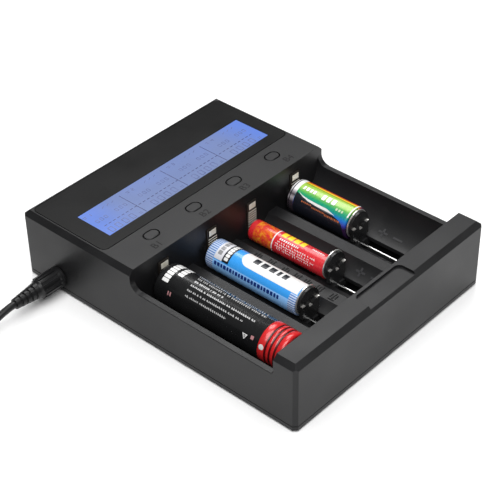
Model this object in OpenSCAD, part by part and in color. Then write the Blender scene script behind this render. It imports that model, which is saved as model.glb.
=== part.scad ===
// Four-bay cell charger with sprung sliders, a key for each bay, a wide display and a low-voltage lead.
// Frame: +Z up, bays along Y with the display at the +Y end, origin under the middle of the feet.

/* [Housing] */
// Width of the housing
body_w = 130; // [126:1:150]
// Depth of the housing, front to rear
body_d = 163.5; // [158:0.5:190]
// Height from the underside of the base plate to the top face
body_h = 35; // [33:0.5:44]
// Chamfer along the top edges
top_chamfer = 2.4; // [1:0.1:3]
// Chamfer along the upright corners
corner_chamfer = 1.7; // [0.8:0.1:3]
// Thickness of the housing's walls
wall = 2.2; // [1.6:0.1:2.6]
// Thickness of the top wall under the display panel
top_wall = 2; // [1.4:0.1:2.4]
// Thickness of the base plate
base_t = 1.95; // [1.6:0.05:2.6]
// Open seam between the base plate and the housing
seam_gap = 0.4; // [0.2:0.1:0.8]
// Height that the feet stand below the base plate
foot_h = 1; // [0.6:0.1:3]
// Diameter of a foot
foot_d = 10; // [8:0.5:12]

/* [Bays] */
// Depth of the rail along the front
front_rail = 12.15; // [11:0.05:16]
// Clear length of the bays
bay_l = 81.9; // [79:0.1:90]
// Distance of the two middle bays from the centre line, as a share of the width
inner_bay_share = 0.104; // [0.1:0.001:0.11]
// Distance of the two outer bays from the centre line, as a share of the width
outer_bay_share = 0.342; // [0.33:0.001:0.35]
// Height of the bay floors above the underside
floor_h = 9.2; // [8.6:0.1:11]
// Thickness of the bay floors
floor_t = 2; // [1.6:0.1:2.2]
// Radius of a bay's trough
trough_r = 14; // [13:0.1:15]
// Height of the ridges beside the outer bays
ridge_h = 16.5; // [15:0.1:19]
// Height of the ridge between the middle bays
mid_ridge_h = 13.5; // [13:0.1:15]
// Height of the side walls' rim beside the bays
rim_h = 25; // [22:0.1:28]
// Width of the side walls at the rim
rim_w = 2.7; // [2.5:0.1:5]
// Chamfer on the outer edge of the rim
rim_chamfer = 0.2; // [0.1:0.1:1.2]
// Radius where the rim rises to the display block
rim_rear_r = 5; // [3:0.1:7]
// Radius where the rim rises to the front rail
rim_front_r = 1.5; // [0.5:0.1:2.5]
// Width of the finger recess in the front rail
recess_w = 31; // [24:0.5:60]
// Depth of the finger recess
recess_t = 1.2; // [0.6:0.1:1.6]
// Lip left between the finger recess and the bays
recess_lip = 1.6; // [1.2:0.1:3]
// Corner radius of the finger recess
recess_r = 3; // [1.5:0.1:5]

/* [Cells] */
// Diameter of the cell in the first bay
cell_1_d = 18.5; // [16:0.1:21]
// Space left in front of the first bay's slider (its cell takes the rest of the bay)
front_space = 1.85; // [1:0.05:6]
// Diameter of the cell in the second bay
cell_2_d = 14.5; // [13:0.1:18.5]
// Length of the cell in the second bay
cell_2_l = 54.5; // [48:0.1:60]
// Diameter of the cell in the third bay
cell_3_d = 10.5; // [9.5:0.1:14.5]
// Length of the cell in the third bay
cell_3_l = 47.5; // [40:0.1:52]
// Diameter of the cell in the fourth bay
cell_4_d = 16.5; // [14:0.1:18.5]
// Length of the cell in the fourth bay
cell_4_l = 36.5; // [35:0.1:50]

/* [Sliders] */
// Width of the slot in each bay's floor
slot_w = 9; // [8:0.1:10]
// Distance from the rear of the bays to the slots
slot_start = 28; // [26:0.5:30]
// Diameter of a guide rod
rod_d = 1.4; // [1.2:0.1:2]
// Depth of a guide rod's axis under the bay floor
rod_drop = 1.4; // [1.3:0.1:1.6]
// Diameter of a slider's round contact
slider_d = 14.4; // [13:0.1:15]
// Length of a slider in front of its contact
slider_l = 3.6; // [3.2:0.1:4.4]
// Length of a slider's foot behind its contact
slider_back = 8; // [5:0.1:8]
// Height of the contact's middle above the bay floor
slider_h = 8.8; // [8.4:0.1:9.4]
// Running clearance of a slider
slide_gap = 0.4; // [0.3:0.05:0.5]
// Thickness of the contact strips
strip_t = 0.5; // [0.4:0.05:0.7]
// Outer diameter of a return spring
spring_d = 3.2; // [2.6:0.1:3.4]
// Diameter of a return spring's wire
spring_wire = 0.5; // [0.4:0.05:0.7]

/* [Keys] */
// Width of a key's cap across the housing
key_l = 7.8; // [7:0.1:9]
// Width of a key's cap front to rear
key_w = 5.3; // [5:0.1:6]
// Spacing of the keys, as a share of the width
key_share = 0.209; // [0.2:0.0005:0.23]
// Distance from the rear of the bays to the keys
key_setback = 11.7; // [10:0.1:12]
// Height that a key stands above the top face
key_proud = 0.1; // [0:0.05:0.9]
// Travel of a key
key_travel = 0.4; // [0.3:0.05:0.5]
// Gap around a key
key_gap = 0.4; // [0.3:0.05:0.5]

/* [Display] */
// Distance of the display and the keys to the right of the housing's middle
display_shift = 1.2; // [0:0.1:1.5]
// Distance from the rear of the bays to the display panel
panel_setback = 18.9; // [18:0.1:21]
// Margin between the display panel and the edges of the top face
panel_margin = 1; // [0.8:0.1:2]
// Thickness of the display panel
panel_t = 1.4; // [1:0.1:1.8]
// Corner radius of the display panel
panel_r = 3; // [1:0.1:5]
// Open gap around the display panel
panel_gap = 0.35; // [0.2:0.05:0.5]
// Width of the panel's border beside the window
window_side = 8.2; // [7:0.1:16]
// Length of the display window, front to rear, as a share of the panel
window_share = 0.4496; // [0.4:0.0004:0.5]
// Distance from the panel's front edge to the window
window_setback = 6.2; // [4:0.1:7]
// Border of the display glass that the panel hides
glass_border = 2.6; // [2:0.1:3.5]
// Thickness of the display glass
glass_t = 2.8; // [2:0.1:3]
// Thickness of the display's backlight
backlight_t = 4.8; // [4.6:0.1:5.6]

/* [Boards] */
// Thickness of the circuit boards
board_t = 1.6; // [1:0.1:2]
// Height of the standoffs under the power board
standoff_h = 2; // [1.6:0.1:3]
// Diameter of the screw bosses
boss_d = 6.4; // [6:0.1:7]
// Outside diameter of the screws' threads
screw_d = 2.5; // [2:0.1:3]
// Diameter of the screws' heads
screw_head_d = 4.8; // [4.4:0.1:5.4]

/* [Power lead] */
// Distance from the rear face to the power socket
socket_setback = 21.75; // [20:0.05:26]
// Height of the power socket above the underside
socket_h = 8.1; // [7.8:0.1:10]
// Diameter of the plug's barrel
barrel_d = 5.5; // [5:0.1:6]
// Diameter of the plug's grip
plug_d = 10.4; // [9:0.1:11]
// Length of the plug's grip
plug_grip_l = 14; // [12:0.1:16]
// Length of the plug's strain relief
relief_l = 13; // [12:0.1:16]
// Diameter of the cord
cord_d = 3.5; // [3:0.1:3.8]
// Diameter of the coil at the middle of its turns
coil_d = 40; // [36:0.5:42]
// Turns that lie side by side in the coil
coil_rows = 3; // [2:1:4]
// Layers of turns in the coil
coil_layers = 3; // [2:1:4]
// Thickness of the coil's tie
tie_t = 0.6; // [0.4:0.1:1]

/* [Hidden] */
$fn = 64;
// Clearance of parts that are pushed together
fit = 0.05;
seat = 0.2;

// Levels
low_space_h = 2.6;
rail_roof_t = wall + 1;
z_under = foot_h;
z_plate = z_under + base_t;
z_split = z_plate + seam_gap;
z_top = z_under + body_h;
z_floor = z_under + floor_h;
z_rim = z_under + rim_h;
z_ridge = z_under + ridge_h;
z_mid_ridge = z_under + mid_ridge_h;
z_rod = z_floor - rod_drop;
z_socket = z_under + socket_h;
z_low = z_plate + low_space_h;
z_panel = z_top - panel_t;
z_ceiling = z_panel - top_wall;
z_rail_roof = z_top - recess_t - rail_roof_t;
z_glass = z_panel - glass_t;
z_display_board = z_glass - backlight_t;
z_power_board = z_plate + standoff_h + board_t;

// Stations along the depth
y_front = -body_d/2;
y_rear = body_d/2;
y_rail = y_front + front_rail;
y_bays = y_rail + bay_l;
y_block = y_bays + wall;
y_slot = y_bays - slot_start;
y_keys = y_bays + key_setback;
y_panel = y_bays + panel_setback;
y_panel_end = y_rear - top_chamfer - panel_margin;
y_window = y_panel + window_setback;
y_socket = y_rear - socket_setback;
y_strip = y_bays - strip_t;

// Stations across the width
x_side = body_w/2;
x_in = x_side - wall;
x_rim = x_side - rim_w;
inner_bay_x = inner_bay_share*body_w;
outer_bay_x = outer_bay_share*body_w;
key_pitch = key_share*body_w;
bay_x = [-outer_bay_x, -inner_bay_x, inner_bay_x, outer_bay_x];
outer_trough_r = x_rim - outer_bay_x;
bay_left_r = [outer_trough_r, trough_r, trough_r, trough_r];
bay_right_r = [trough_r, trough_r, trough_r, outer_trough_r];
gap_z = [z_ridge, z_mid_ridge, z_ridge];
key_x = [for (i = [0:3]) display_shift + (i - 1.5)*key_pitch];

// Cells and the sliders that press on them
rib_r = 0.45;
contact_bump = 0.5;
y_cells = y_strip - rib_r - fit;
pusher_l = fit + contact_bump + strip_t;
cell_1_l = y_cells - y_rail - front_space - slider_l - pusher_l;
cell_d = [cell_1_d, cell_2_d, cell_3_d, cell_4_d];
cell_l = [cell_1_l, cell_2_l, cell_3_l, cell_4_l];
y_slider = [for (l = cell_l) y_cells - l - pusher_l];

// Contact strips in the rear wall of the bays
strip_w = 6.4;
strip_gap = 0.3;
strip_pocket_w = strip_w + 2*strip_gap;
strip_foot = 1.2;
strip_top_drop = 5.4;
strip_rib_pitch = 1.3;
strip_tab_h = 3.6;
strip_leg_w = 4;
strip_leg_h = 6;
strip_leg_z = z_floor + strip_leg_h;
strip_leg_l = 3;

// Slider carriage
neck_w = slot_w - 2*slide_gap;
foot_side = 1.8;
foot_w = slot_w + 2*foot_side;
foot_t = 1.8;
z_foot_top = z_floor - floor_t - slide_gap;
rest_lift = 1.9;
z_rest = z_floor + rest_lift;
z_head = z_floor + slider_h;
z_arm = z_floor - seat - 2*fit;
contact_rim = 0.5;
head_t = 1.4;
rest_t = 1.2;
rest_w = 11.2;
notch_w = 3;
notch_t = 2;
side_tab_x = 4.8;
tab_w = 1.8;
rod_gap = 0.15;
spring_dx = slot_w/2;
z_spring = z_foot_top - foot_t/2 - seat;
anchor_d = 3;
anchor_inset = 4;
y_anchor = y_bays - anchor_inset;

// Rod seat behind each slot
rod_seat_w = 5.2;
rod_seat_l = 6;
rod_depth = 5;

// Keys and their switches
key_flange_w = 1;
key_flange_t = 0.8;
z_key_flange = z_ceiling - seat - key_flange_t;
switch_w = 6;
switch_well_d = 3.8;
switch_well_t = 1.4;
key_stem_d = 3;
z_switch = z_key_flange - key_travel - 2*seat;
z_key_stem = z_switch - switch_well_t + key_travel + seat;

// Display
panel_w = body_w - 2*(top_chamfer + panel_margin);
panel_l = y_panel_end - y_panel;
window_w = panel_w - 2*window_side;
window_l = window_share*panel_l;
glass_l = window_l + 2*glass_border;
window_y = y_window + window_l/2;
window_x0 = display_shift - window_w/2;
window_x1 = display_shift + window_w/2;

// Boards
board_edge = 3;
display_board_side = 11;
socket_side = 16;
power_board_back = 5;
post_inset = 2.8;
power_post_inset = 5;
power_post_side = 9;
display_board_y = y_block + board_edge;
display_board_end = y_rear - wall - board_edge;
display_board_w = 2*(x_in - display_board_side);
power_board_x = -x_in + socket_side;
power_board_end = x_in - board_edge;
power_board_y = y_block + board_edge;
power_board_rear = y_rear - wall - power_board_back;
display_post_y = [display_board_y + post_inset, display_board_end - post_inset];
display_posts = [for (x = [-key_pitch, key_pitch], y = display_post_y) [x, y]];
standoff_d = 5;
power_post_x = [power_board_x + power_post_inset, power_board_end - power_post_side];
power_post_y = [power_board_y + power_post_inset, power_board_rear - power_post_inset];
power_posts = [for (x = power_post_x, y = power_post_y) [x, y]];
// Rows of the components, as shares of the power board's length, and one channel of them for each bay
power_board_l = power_board_rear - power_board_y;
y_transistors = power_board_y + 0.265*power_board_l;
y_inductors = power_board_y + 0.495*power_board_l;
y_capacitors = power_board_y + 0.745*power_board_l;
y_link = power_board_y + 0.88*power_board_l;
channel_pitch = (power_board_end - power_board_x)/4;
channel_x = [for (i = [0:3]) power_board_x + (i + 0.5)*channel_pitch];

// Screws that hold the base plate
boss_edge = 3.4;
rail_boss_gap = 0.8;
rail_boss_side = 15;
block_boss_gap = 1;
boss_inset = wall + boss_d/2 + boss_edge;
boss_x = x_side - boss_inset;
boss_y = [y_rear - boss_inset, y_block + boss_d/2 + block_boss_gap];
rail_mid = y_front + front_rail/2 + seat;
rail_boss_d = front_rail - 2*(wall + rail_boss_gap);
rail_boss_x = x_side - rail_boss_side;
case_posts = [[-rail_boss_x, rail_mid], [rail_boss_x, rail_mid],
    [-boss_x, boss_y[0]], [boss_x, boss_y[0]], [-boss_x, boss_y[1]], [boss_x, boss_y[1]]];
pad_wall = 0.6;
pad_d = screw_head_d + 2*pad_wall;
pad_t = 1;
z_boss = z_plate + pad_t;
screw_l = 9;
screw_head_t = 1.5;
board_thread_l = 4;
thread_gap = 0.05;
thread_l = 6;
head_sink = 0.5;
z_screw_head = z_under + head_sink;
foot_inset_x = 19;
foot_inset_y = 20;
foot_x = x_side - foot_inset_x;
foot_y = [y_front + foot_inset_y, y_rear - foot_inset_y];
foot_sink = 0.6;

// Power socket and lead
socket_w = 9;
socket_tall = 8.4;
socket_l = 13;
barrel_gap = 0.15;
barrel_l = 9.5;
barrel_bore_d = 2.5;
socket_pin_d = 2;
socket_lip = 0.5;
socket_hole_d = barrel_d + 2*socket_lip;
collar_l = 2.6;
groove_w = 1;
groove_t = 0.7;
relief_grooves = 4;
grip_ribs = 14;
grip_rib_w = 1;
plug_end = -x_side - plug_grip_l - relief_l;
relief_step = 1.2;
relief_wall = 0.8;
relief_d1 = plug_d - 2*relief_step;
relief_d2 = cord_d + 2*relief_wall;
coil_w = coil_rows*cord_d;
coil_h = coil_layers*cord_d;
// The cord leaves the plug level, drops to the table and runs on into the outer turn of the coil
cord_run = 32;
cord_steps = 8;
cord_sides = 8;
z_cord = tie_t + cord_d/2;
cord_route = [for (i = [0:cord_steps]) let (t = i/cord_steps)
    [plug_end - t*cord_run, y_socket, z_cord + (z_socket - z_cord)*(1 + cos(180*t))/2]];
coil_centre = [plug_end - cord_run, y_socket + (coil_d + coil_w - cord_d)/2];
tie_angle = 60;
tie_w = 7;
tie_gap = 0.6;
usb_inset = 2;
usb_offset = coil_d/2 - usb_inset;
usb_body = [18, 11, 7.6];
usb_shell = [12, 12, 4.5];
usb_start = -3;
usb_wall = 0.4;
usb_shell_sink = 3;

// A rectangle with cut corners
module cut_rect(w, d, c) {
    polygon([[w/2 - c, -d/2], [w/2, -d/2 + c], [w/2, d/2 - c], [w/2 - c, d/2],
        [-w/2 + c, d/2], [-w/2, d/2 - c], [-w/2, -d/2 + c], [-w/2 + c, -d/2]]);
}

// A rectangle with round corners
module round_rect(w, d, r) {
    square([w - 2*r, d], center = true);
    square([w, d - 2*r], center = true);
    for (x = [-1, 1], y = [-1, 1]) translate([x*(w/2 - r), y*(d/2 - r)]) circle(r);
}

// A bar along X with round ends
module oval(l, w) {
    square([l - w, w], center = true);
    for (x = [-1, 1]) translate([x*(l - w)/2, 0]) circle(d = w);
}

// Stands a drawing of X and Z up and gives it a depth from y0 to y1
module along_y(y0, y1) {
    translate([0, y1, 0]) rotate([90, 0, 0]) linear_extrude(y1 - y0) children();
}

// Stands a drawing of Y and Z up and gives it a width of w about the middle
module along_x(w) {
    rotate([90, 0, 90]) linear_extrude(w, center = true) children();
}

// A cylinder that lies along Y from y0 to y1
module rod_y(x, z, d, y0, y1) {
    translate([x, y1, z]) rotate([90, 0, 0]) cylinder(d = d, h = y1 - y0);
}

// A cylinder that lies along X from x0 to x1
module rod_x(y, z, d, x0, x1) {
    translate([x0, y, z]) rotate([0, 90, 0]) cylinder(d = d, h = x1 - x0);
}

// A box between two corners
module block(low, high) {
    translate(low) cube(high - low);
}

// Outline of the housing seen from the front
module front_outline() {
    shoulder = z_top - top_chamfer;
    polygon([[-x_side, z_split], [x_side, z_split], [x_side, shoulder], [x_side - top_chamfer, z_top],
        [-x_side + top_chamfer, z_top], [-x_side, shoulder]]);
}

// Outline of the housing seen from the side, with the side walls' dip beside the bays
module side_outline() {
    shoulder = z_top - top_chamfer;
    difference() {
        polygon([[y_front, z_split], [y_rear, z_split], [y_rear, shoulder], [y_rear - top_chamfer, z_top],
            [y_front + top_chamfer, z_top], [y_front, shoulder]]);
        difference() {
            translate([y_rail, z_rim]) square([bay_l, body_h]);
            translate([y_bays - rim_rear_r, z_rim]) difference() {
                square(rim_rear_r);
                translate([0, rim_rear_r]) circle(rim_rear_r);
            }
            translate([y_rail, z_rim]) difference() {
                square(rim_front_r);
                translate([rim_front_r, rim_front_r]) circle(rim_front_r);
            }
        }
    }
}

// Half of a trough: a disc that touches the bay floor, cut at the bay's middle
module half_trough(x, r, grow, side) {
    intersection() {
        translate([x, z_floor + r]) circle(r + grow, $fn = 128);
        translate([side < 0 ? x - 2*r - grow : x, z_floor - grow - 1]) square([2*r + grow, 3*r]);
    }
}

// Section of the four bays, grown by the thickness of the floor for their underside
module bay_section(grow) {
    for (i = [0:3]) {
        half_trough(bay_x[i], bay_left_r[i], grow, -1);
        half_trough(bay_x[i], bay_right_r[i], grow, 1);
    }
    for (i = [0:2]) translate([bay_x[i], gap_z[i] - grow]) square([bay_x[i + 1] - bay_x[i], body_h]);
    for (side = [-1, 1]) mirror([side < 0 ? 1 : 0, 0])
        translate([outer_bay_x, z_floor + outer_trough_r]) square([outer_trough_r + grow, body_h]);
}

// Plan of the space inside the outer walls
module inside_plan(y0, y1) {
    translate([-x_in, y0]) square([2*x_in, y1 - y0]);
}

module housing_cavities() {
    // Low space over the base plate
    translate([0, 0, z_split - 1]) linear_extrude(z_low - z_split + 1)
        inside_plan(y_front + wall, y_rear - wall);
    // Under the bays
    along_y(y_rail, y_bays) difference() {
        translate([-x_in, z_split]) square([2*x_in, z_ridge - floor_t - z_split]);
        bay_section(floor_t);
    }
    // Inside the front rail
    translate([0, 0, z_split]) linear_extrude(z_rail_roof - z_split)
        inside_plan(y_front + wall, y_rail - wall);
    // Inside the display block
    translate([0, 0, z_split]) linear_extrude(z_ceiling - z_split) inside_plan(y_block, y_rear - wall);
}

module finger_recess() {
    depth = front_rail - recess_lip;
    translate([0, y_front + depth/2 - recess_r, z_top - recess_t]) linear_extrude(recess_t + 1)
        round_rect(recess_w, depth + 2*recess_r, recess_r);
}

module panel_plan(gap) {
    translate([0, y_panel + panel_l/2]) round_rect(panel_w + 2*gap, panel_l + 2*gap, panel_r + gap);
}

module upper_housing() {
    color("#3c3c3e") difference() {
        union() {
            difference() {
                intersection() {
                    translate([0, 0, z_split]) linear_extrude(z_top - z_split)
                        cut_rect(body_w, body_d, corner_chamfer);
                    along_y(y_front, y_rear) front_outline();
                    along_x(body_w) side_outline();
                }
                along_y(y_rail, y_bays) bay_section(0);
                housing_cavities();
            }
            // Seats for the rear ends of the guide rods
            for (x = bay_x) block([x - rod_seat_w/2, y_slot, z_rod - rod_seat_w/2],
                [x + rod_seat_w/2, y_slot + rod_seat_l, z_floor - floor_t/2]);
            // Posts that hold the return springs
            for (x = bay_x) translate([x + spring_dx, y_anchor, z_spring - spring_d/2])
                cylinder(d = anchor_d, h = z_floor - floor_t/2 - z_spring + spring_d/2);
            // Bosses for the base plate's screws
            for (i = [0:1]) translate([case_posts[i].x, case_posts[i].y, z_boss])
                cylinder(d = rail_boss_d, h = z_rail_roof + wall/2 - z_boss);
            for (i = [2:5]) translate([case_posts[i].x, case_posts[i].y, z_boss])
                cylinder(d = boss_d, h = z_ceiling + top_wall/2 - z_boss);
            // Bosses for the display board
            for (p = display_posts) translate([p.x, p.y, z_display_board])
                cylinder(d = standoff_d, h = z_ceiling + top_wall/2 - z_display_board);
        }
        // Slots for the sliders
        for (x = bay_x) block([x - slot_w/2, y_rail, z_floor - floor_t - 2], [x + slot_w/2, y_slot, z_ridge]);
        // Holes for the guide rods
        for (x = bay_x) rod_y(x, z_rod, rod_d + 2*fit, y_rail - wall - 1, y_slot + rod_depth);
        // Pockets and slits for the contacts in the rear wall
        for (x = bay_x) {
            block([x - strip_pocket_w/2, y_strip, z_floor + strip_foot - seat],
                [x + strip_pocket_w/2, y_bays + strip_t, z_top - strip_top_drop + seat]);
            block([x - strip_leg_w/2 - seat, y_bays, strip_leg_z - seat],
                [x + strip_leg_w/2 + seat, y_block + 1, strip_leg_z + strip_t + seat]);
        }
        finger_recess();
        // Chamfers along the rim's outer edges
        for (side = [-1, 1]) mirror([side < 0 ? 1 : 0, 0, 0]) along_y(y_rail + rim_front_r, y_bays - rim_rear_r)
            polygon([[x_side - rim_chamfer, z_rim], [x_side + 1, z_rim - rim_chamfer - 1], [x_side + 1, z_rim]]);
        // Seat of the display panel and the opening for the glass
        translate([0, 0, z_panel]) linear_extrude(panel_t + 1) panel_plan(panel_gap);
        block([window_x0 - glass_border - seat, window_y - glass_l/2 - seat, z_ceiling - 1],
            [window_x1 + glass_border + seat, window_y + glass_l/2 + seat, z_panel + 1]);
        // Key holes
        for (x = key_x) translate([x, y_keys, z_ceiling - 1]) linear_extrude(z_top - z_ceiling + 2)
            oval(key_l + 2*key_gap, key_w + 2*key_gap);
        // Hole for the power plug
        rod_x(y_socket, z_socket, socket_hole_d, -x_side - 1, -x_in + 1);
        // Screw holes
        for (p = case_posts) translate([p.x, p.y, z_boss - 1])
            cylinder(d = screw_d + 2*thread_gap, h = screw_l);
        for (p = display_posts) translate([p.x, p.y, z_display_board - 1])
            cylinder(d = screw_d + 2*thread_gap, h = z_ceiling - z_display_board);
    }
}

module base_plate() {
    rib_t = 1.4;
    rib_h = low_space_h - 2*seat;
    rib_out = x_in - seat;
    rib_inset = 4;
    rib_clear = 6;
    vents = 9;
    vent_pitch = 7;
    vent_w = 2;
    vent_r = 0.9;
    block_l = y_rear - y_block;
    vent_l = 0.24*block_l;
    vent_y = [y_block + 0.25*block_l, y_block + 0.61*block_l];
    color("#37373a") difference() {
        union() {
            translate([0, 0, z_under]) linear_extrude(base_t) cut_rect(body_w, body_d, corner_chamfer);
            for (p = case_posts) translate([p.x, p.y, z_plate]) cylinder(d = pad_d, h = pad_t);
            // Ribs that keep the housing's walls in line
            for (side = [-1, 1]) {
                x = side*(rib_out - rib_t/2);
                block([x - rib_t/2, y_rail + rib_inset, z_plate],
                    [x + rib_t/2, y_bays - rib_inset, z_plate + rib_h]);
            }
            block([-rail_boss_x + rib_clear, y_front + wall + seat, z_plate],
                [rail_boss_x - rib_clear, y_front + wall + seat + rib_t, z_plate + rib_h]);
            block([-x_side + 2*boss_inset, y_rear - wall - seat - rib_t, z_plate],
                [x_side - 2*boss_inset, y_rear - wall - seat, z_plate + rib_h]);
            for (p = power_posts) translate([p.x, p.y, z_plate]) cylinder(d = standoff_d, h = standoff_h);
        }
        for (p = case_posts) translate([p.x, p.y, 0]) {
            cylinder(d = screw_head_d + 2*seat, h = z_screw_head + screw_head_t);
            cylinder(d = screw_d + 2*seat, h = z_low);
        }
        for (p = power_posts) translate([p.x, p.y, z_under + base_t/2])
            cylinder(d = screw_d + 2*thread_gap, h = z_low);
        for (x = [-foot_x, foot_x], y = foot_y) translate([x, y, 0])
            cylinder(d = foot_d + 2*fit, h = z_under + foot_sink);
        // Vents under the power board
        for (i = [0:vents - 1], y = vent_y) translate([(i - (vents - 1)/2)*vent_pitch, y, 0])
            linear_extrude(z_plate + 1) round_rect(vent_w, vent_l, vent_r);
    }
}

module display_panel() {
    color("#2a2a2c") difference() {
        translate([0, 0, z_panel]) linear_extrude(panel_t) panel_plan(0);
        block([window_x0, y_window, z_panel - 1], [window_x1, y_window + window_l, z_top + 1]);
    }
}

module lcd_glass() {
    step_gap = 0.1;
    face_drop = 0.15;
    color("#8fa2e4") {
        block([window_x0 - glass_border, window_y - glass_l/2, z_glass],
            [window_x1 + glass_border, window_y + glass_l/2, z_panel]);
        // Raised middle that fills the panel's window
        block([window_x0 + step_gap, y_window + step_gap, z_glass],
            [window_x1 - step_gap, y_window + window_l - step_gap, z_top - face_drop]);
    }
}

module lcd_backlight() {
    lip = 1.2;
    color("white") block([window_x0 - glass_border + lip, window_y - glass_l/2 + lip, z_display_board],
        [window_x1 + glass_border - lip, window_y + glass_l/2 - lip, z_glass]);
}

module display_board() {
    color("#1f5a36") difference() {
        block([-display_board_w/2, display_board_y, z_display_board - board_t],
            [display_board_w/2, display_board_end, z_display_board]);
        for (p = display_posts) translate([p.x, p.y, z_display_board - board_t - 1])
            cylinder(d = screw_d + 2*seat, h = board_t + 2);
    }
}

module power_board() {
    color("#1f5a36") difference() {
        block([power_board_x, power_board_y, z_power_board - board_t],
            [power_board_end, power_board_rear, z_power_board]);
        for (p = power_posts) translate([p.x, p.y, z_power_board - board_t - 1])
            cylinder(d = screw_d + 2*seat, h = board_t + 2);
        // Clear of the housing's bosses
        for (x = [-boss_x, boss_x], y = boss_y) translate([x, y, 0]) cylinder(d = boss_d + 2, h = z_top);
    }
}

module board_link() {
    link_w = 25.4;
    link_l = 2.5;
    color("#202020") translate([-link_w/2, y_link - link_l/2, z_power_board])
        cube([link_w, link_l, z_display_board - board_t - z_power_board]);
}

module controller_chip() {
    chip_w = 12;
    chip_t = 1.4;
    chip_gap = 8;
    chip_y = y_keys + chip_gap;
    color("#1b1b1d") block([-chip_w/2, chip_y, z_display_board - board_t - chip_t],
        [chip_w/2, chip_y + chip_w, z_display_board - board_t]);
}

module inductors() {
    size = 12;
    tall = 7;
    corner = 2;
    for (x = channel_x) color("#4a4a4c") translate([x, y_inductors, z_power_board])
        linear_extrude(tall) cut_rect(size, size, corner);
}

module capacitors() {
    can_d = 8;
    can_h = 12;
    can_pitch = 14;
    for (i = [-1:1]) color("#30343c") translate([i*can_pitch, y_capacitors, z_power_board])
        cylinder(d = can_d, h = can_h);
}

module transistors() {
    case_w = 6.6;
    case_l = 6.1;
    case_t = 2.3;
    pair_pitch = 9;
    for (x = channel_x, side = [-1, 1]) color("#1d1d1f")
        translate([x + side*pair_pitch/2 - case_w/2, y_transistors - case_l/2, z_power_board])
            cube([case_w, case_l, case_t]);
}

module tact_switches() {
    for (x = key_x) color("#2b2b2d") difference() {
        block([x - switch_w/2, y_keys - switch_w/2, z_display_board],
            [x + switch_w/2, y_keys + switch_w/2, z_switch]);
        translate([x, y_keys, z_switch - switch_well_t]) cylinder(d = switch_well_d, h = switch_well_t + 1);
    }
}

module button(i) {
    edge = 0.3;
    z_cap = z_top + key_proud;
    half = [[key_w/2, z_key_flange], [key_w/2, z_cap - edge], [key_w/2 - edge, z_cap]];
    color("#3f3f41") translate([key_x[i], y_keys, 0]) {
        translate([0, 0, z_key_stem]) cylinder(d = key_stem_d, h = z_key_flange + key_flange_t/2 - z_key_stem);
        translate([0, 0, z_key_flange]) linear_extrude(key_flange_t)
            oval(key_l + 2*key_flange_w, key_w + 2*key_flange_w);
        // Cap: a bar between two round ends
        along_x(key_l - key_w) polygon(concat(half, [for (j = [2:-1:0]) [-half[j].x, half[j].y]]));
        for (x = [-1, 1]) translate([x*(key_l - key_w)/2, 0, 0])
            rotate_extrude() polygon(concat([[0, z_key_flange]], half, [[0, z_cap]]));
    }
}

// The contact's three tabs, which pass through the head over the thumb rest, grown by a gap
module contact_tabs(gap) {
    front = -head_t - rest_t;
    for (tab = [[-side_tab_x, z_head], [0, z_head - notch_t], [side_tab_x, z_head]])
        block([tab[0] - tab_w/2 - gap, front - gap, tab[1] + fit - gap],
            [tab[0] + tab_w/2 + gap, gap, tab[1] + fit + strip_t + gap]);
}

module slider(i) {
    front = -head_t - rest_t;
    groove = rod_d/2 + rod_gap;
    color("#232325") translate([bay_x[i], y_slider[i], 0]) difference() {
        union() {
            // Round head and the thumb rest in front of it
            rod_y(0, z_head, slider_d - 2*contact_rim, -head_t, 0);
            block([-rest_w/2, front, z_rest], [rest_w/2, -head_t/2, z_head]);
            // Neck through the slot, and the foot under the floor
            block([-neck_w/2, front, z_arm - 1], [neck_w/2, 0, z_rest + 1]);
            block([-neck_w/2, -slider_l, z_foot_top - foot_t], [neck_w/2, slider_back, z_arm]);
            block([-foot_w/2, -slider_l, z_foot_top - foot_t], [foot_w/2, slider_back, z_foot_top]);
        }
        block([-notch_w/2, front - 1, z_head - notch_t], [notch_w/2, -head_t, z_head + 1]);
        contact_tabs(fit);
        // Bore for the rod, open at the top outside the neck
        rod_y(0, z_rod, 2*groove, -slider_l - 1, slider_back + 1);
        block([-groove, -slider_l - 1, z_rod], [groove, front, z_arm + 1]);
        block([-groove, 0, z_rod], [groove, slider_back + 1, z_arm + 1]);
    }
}

module slider_contact(i) {
    bump_d = 3;
    bump_h = 5.3;
    color("silver") translate([bay_x[i], y_slider[i], 0]) {
        rod_y(0, z_head, slider_d, 0, strip_t);
        rod_y(0, z_floor + bump_h, bump_d, 0, strip_t + contact_bump);
        contact_tabs(0);
    }
}

module slider_spring(i) {
    x = bay_x[i] + spring_dx;
    y0 = y_slider[i] + slider_back + seat;
    y1 = y_anchor - anchor_d/2 - seat;
    color("silver") difference() {
        rod_y(x, z_spring, spring_d, y0, y1);
        rod_y(x, z_spring, spring_d - 2*spring_wire, y0 - 1, y1 + 1);
    }
}

module guide_rod(i) {
    color("gainsboro") rod_y(bay_x[i], z_rod, rod_d, y_rail - wall, y_slot + rod_depth - seat);
}

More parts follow.
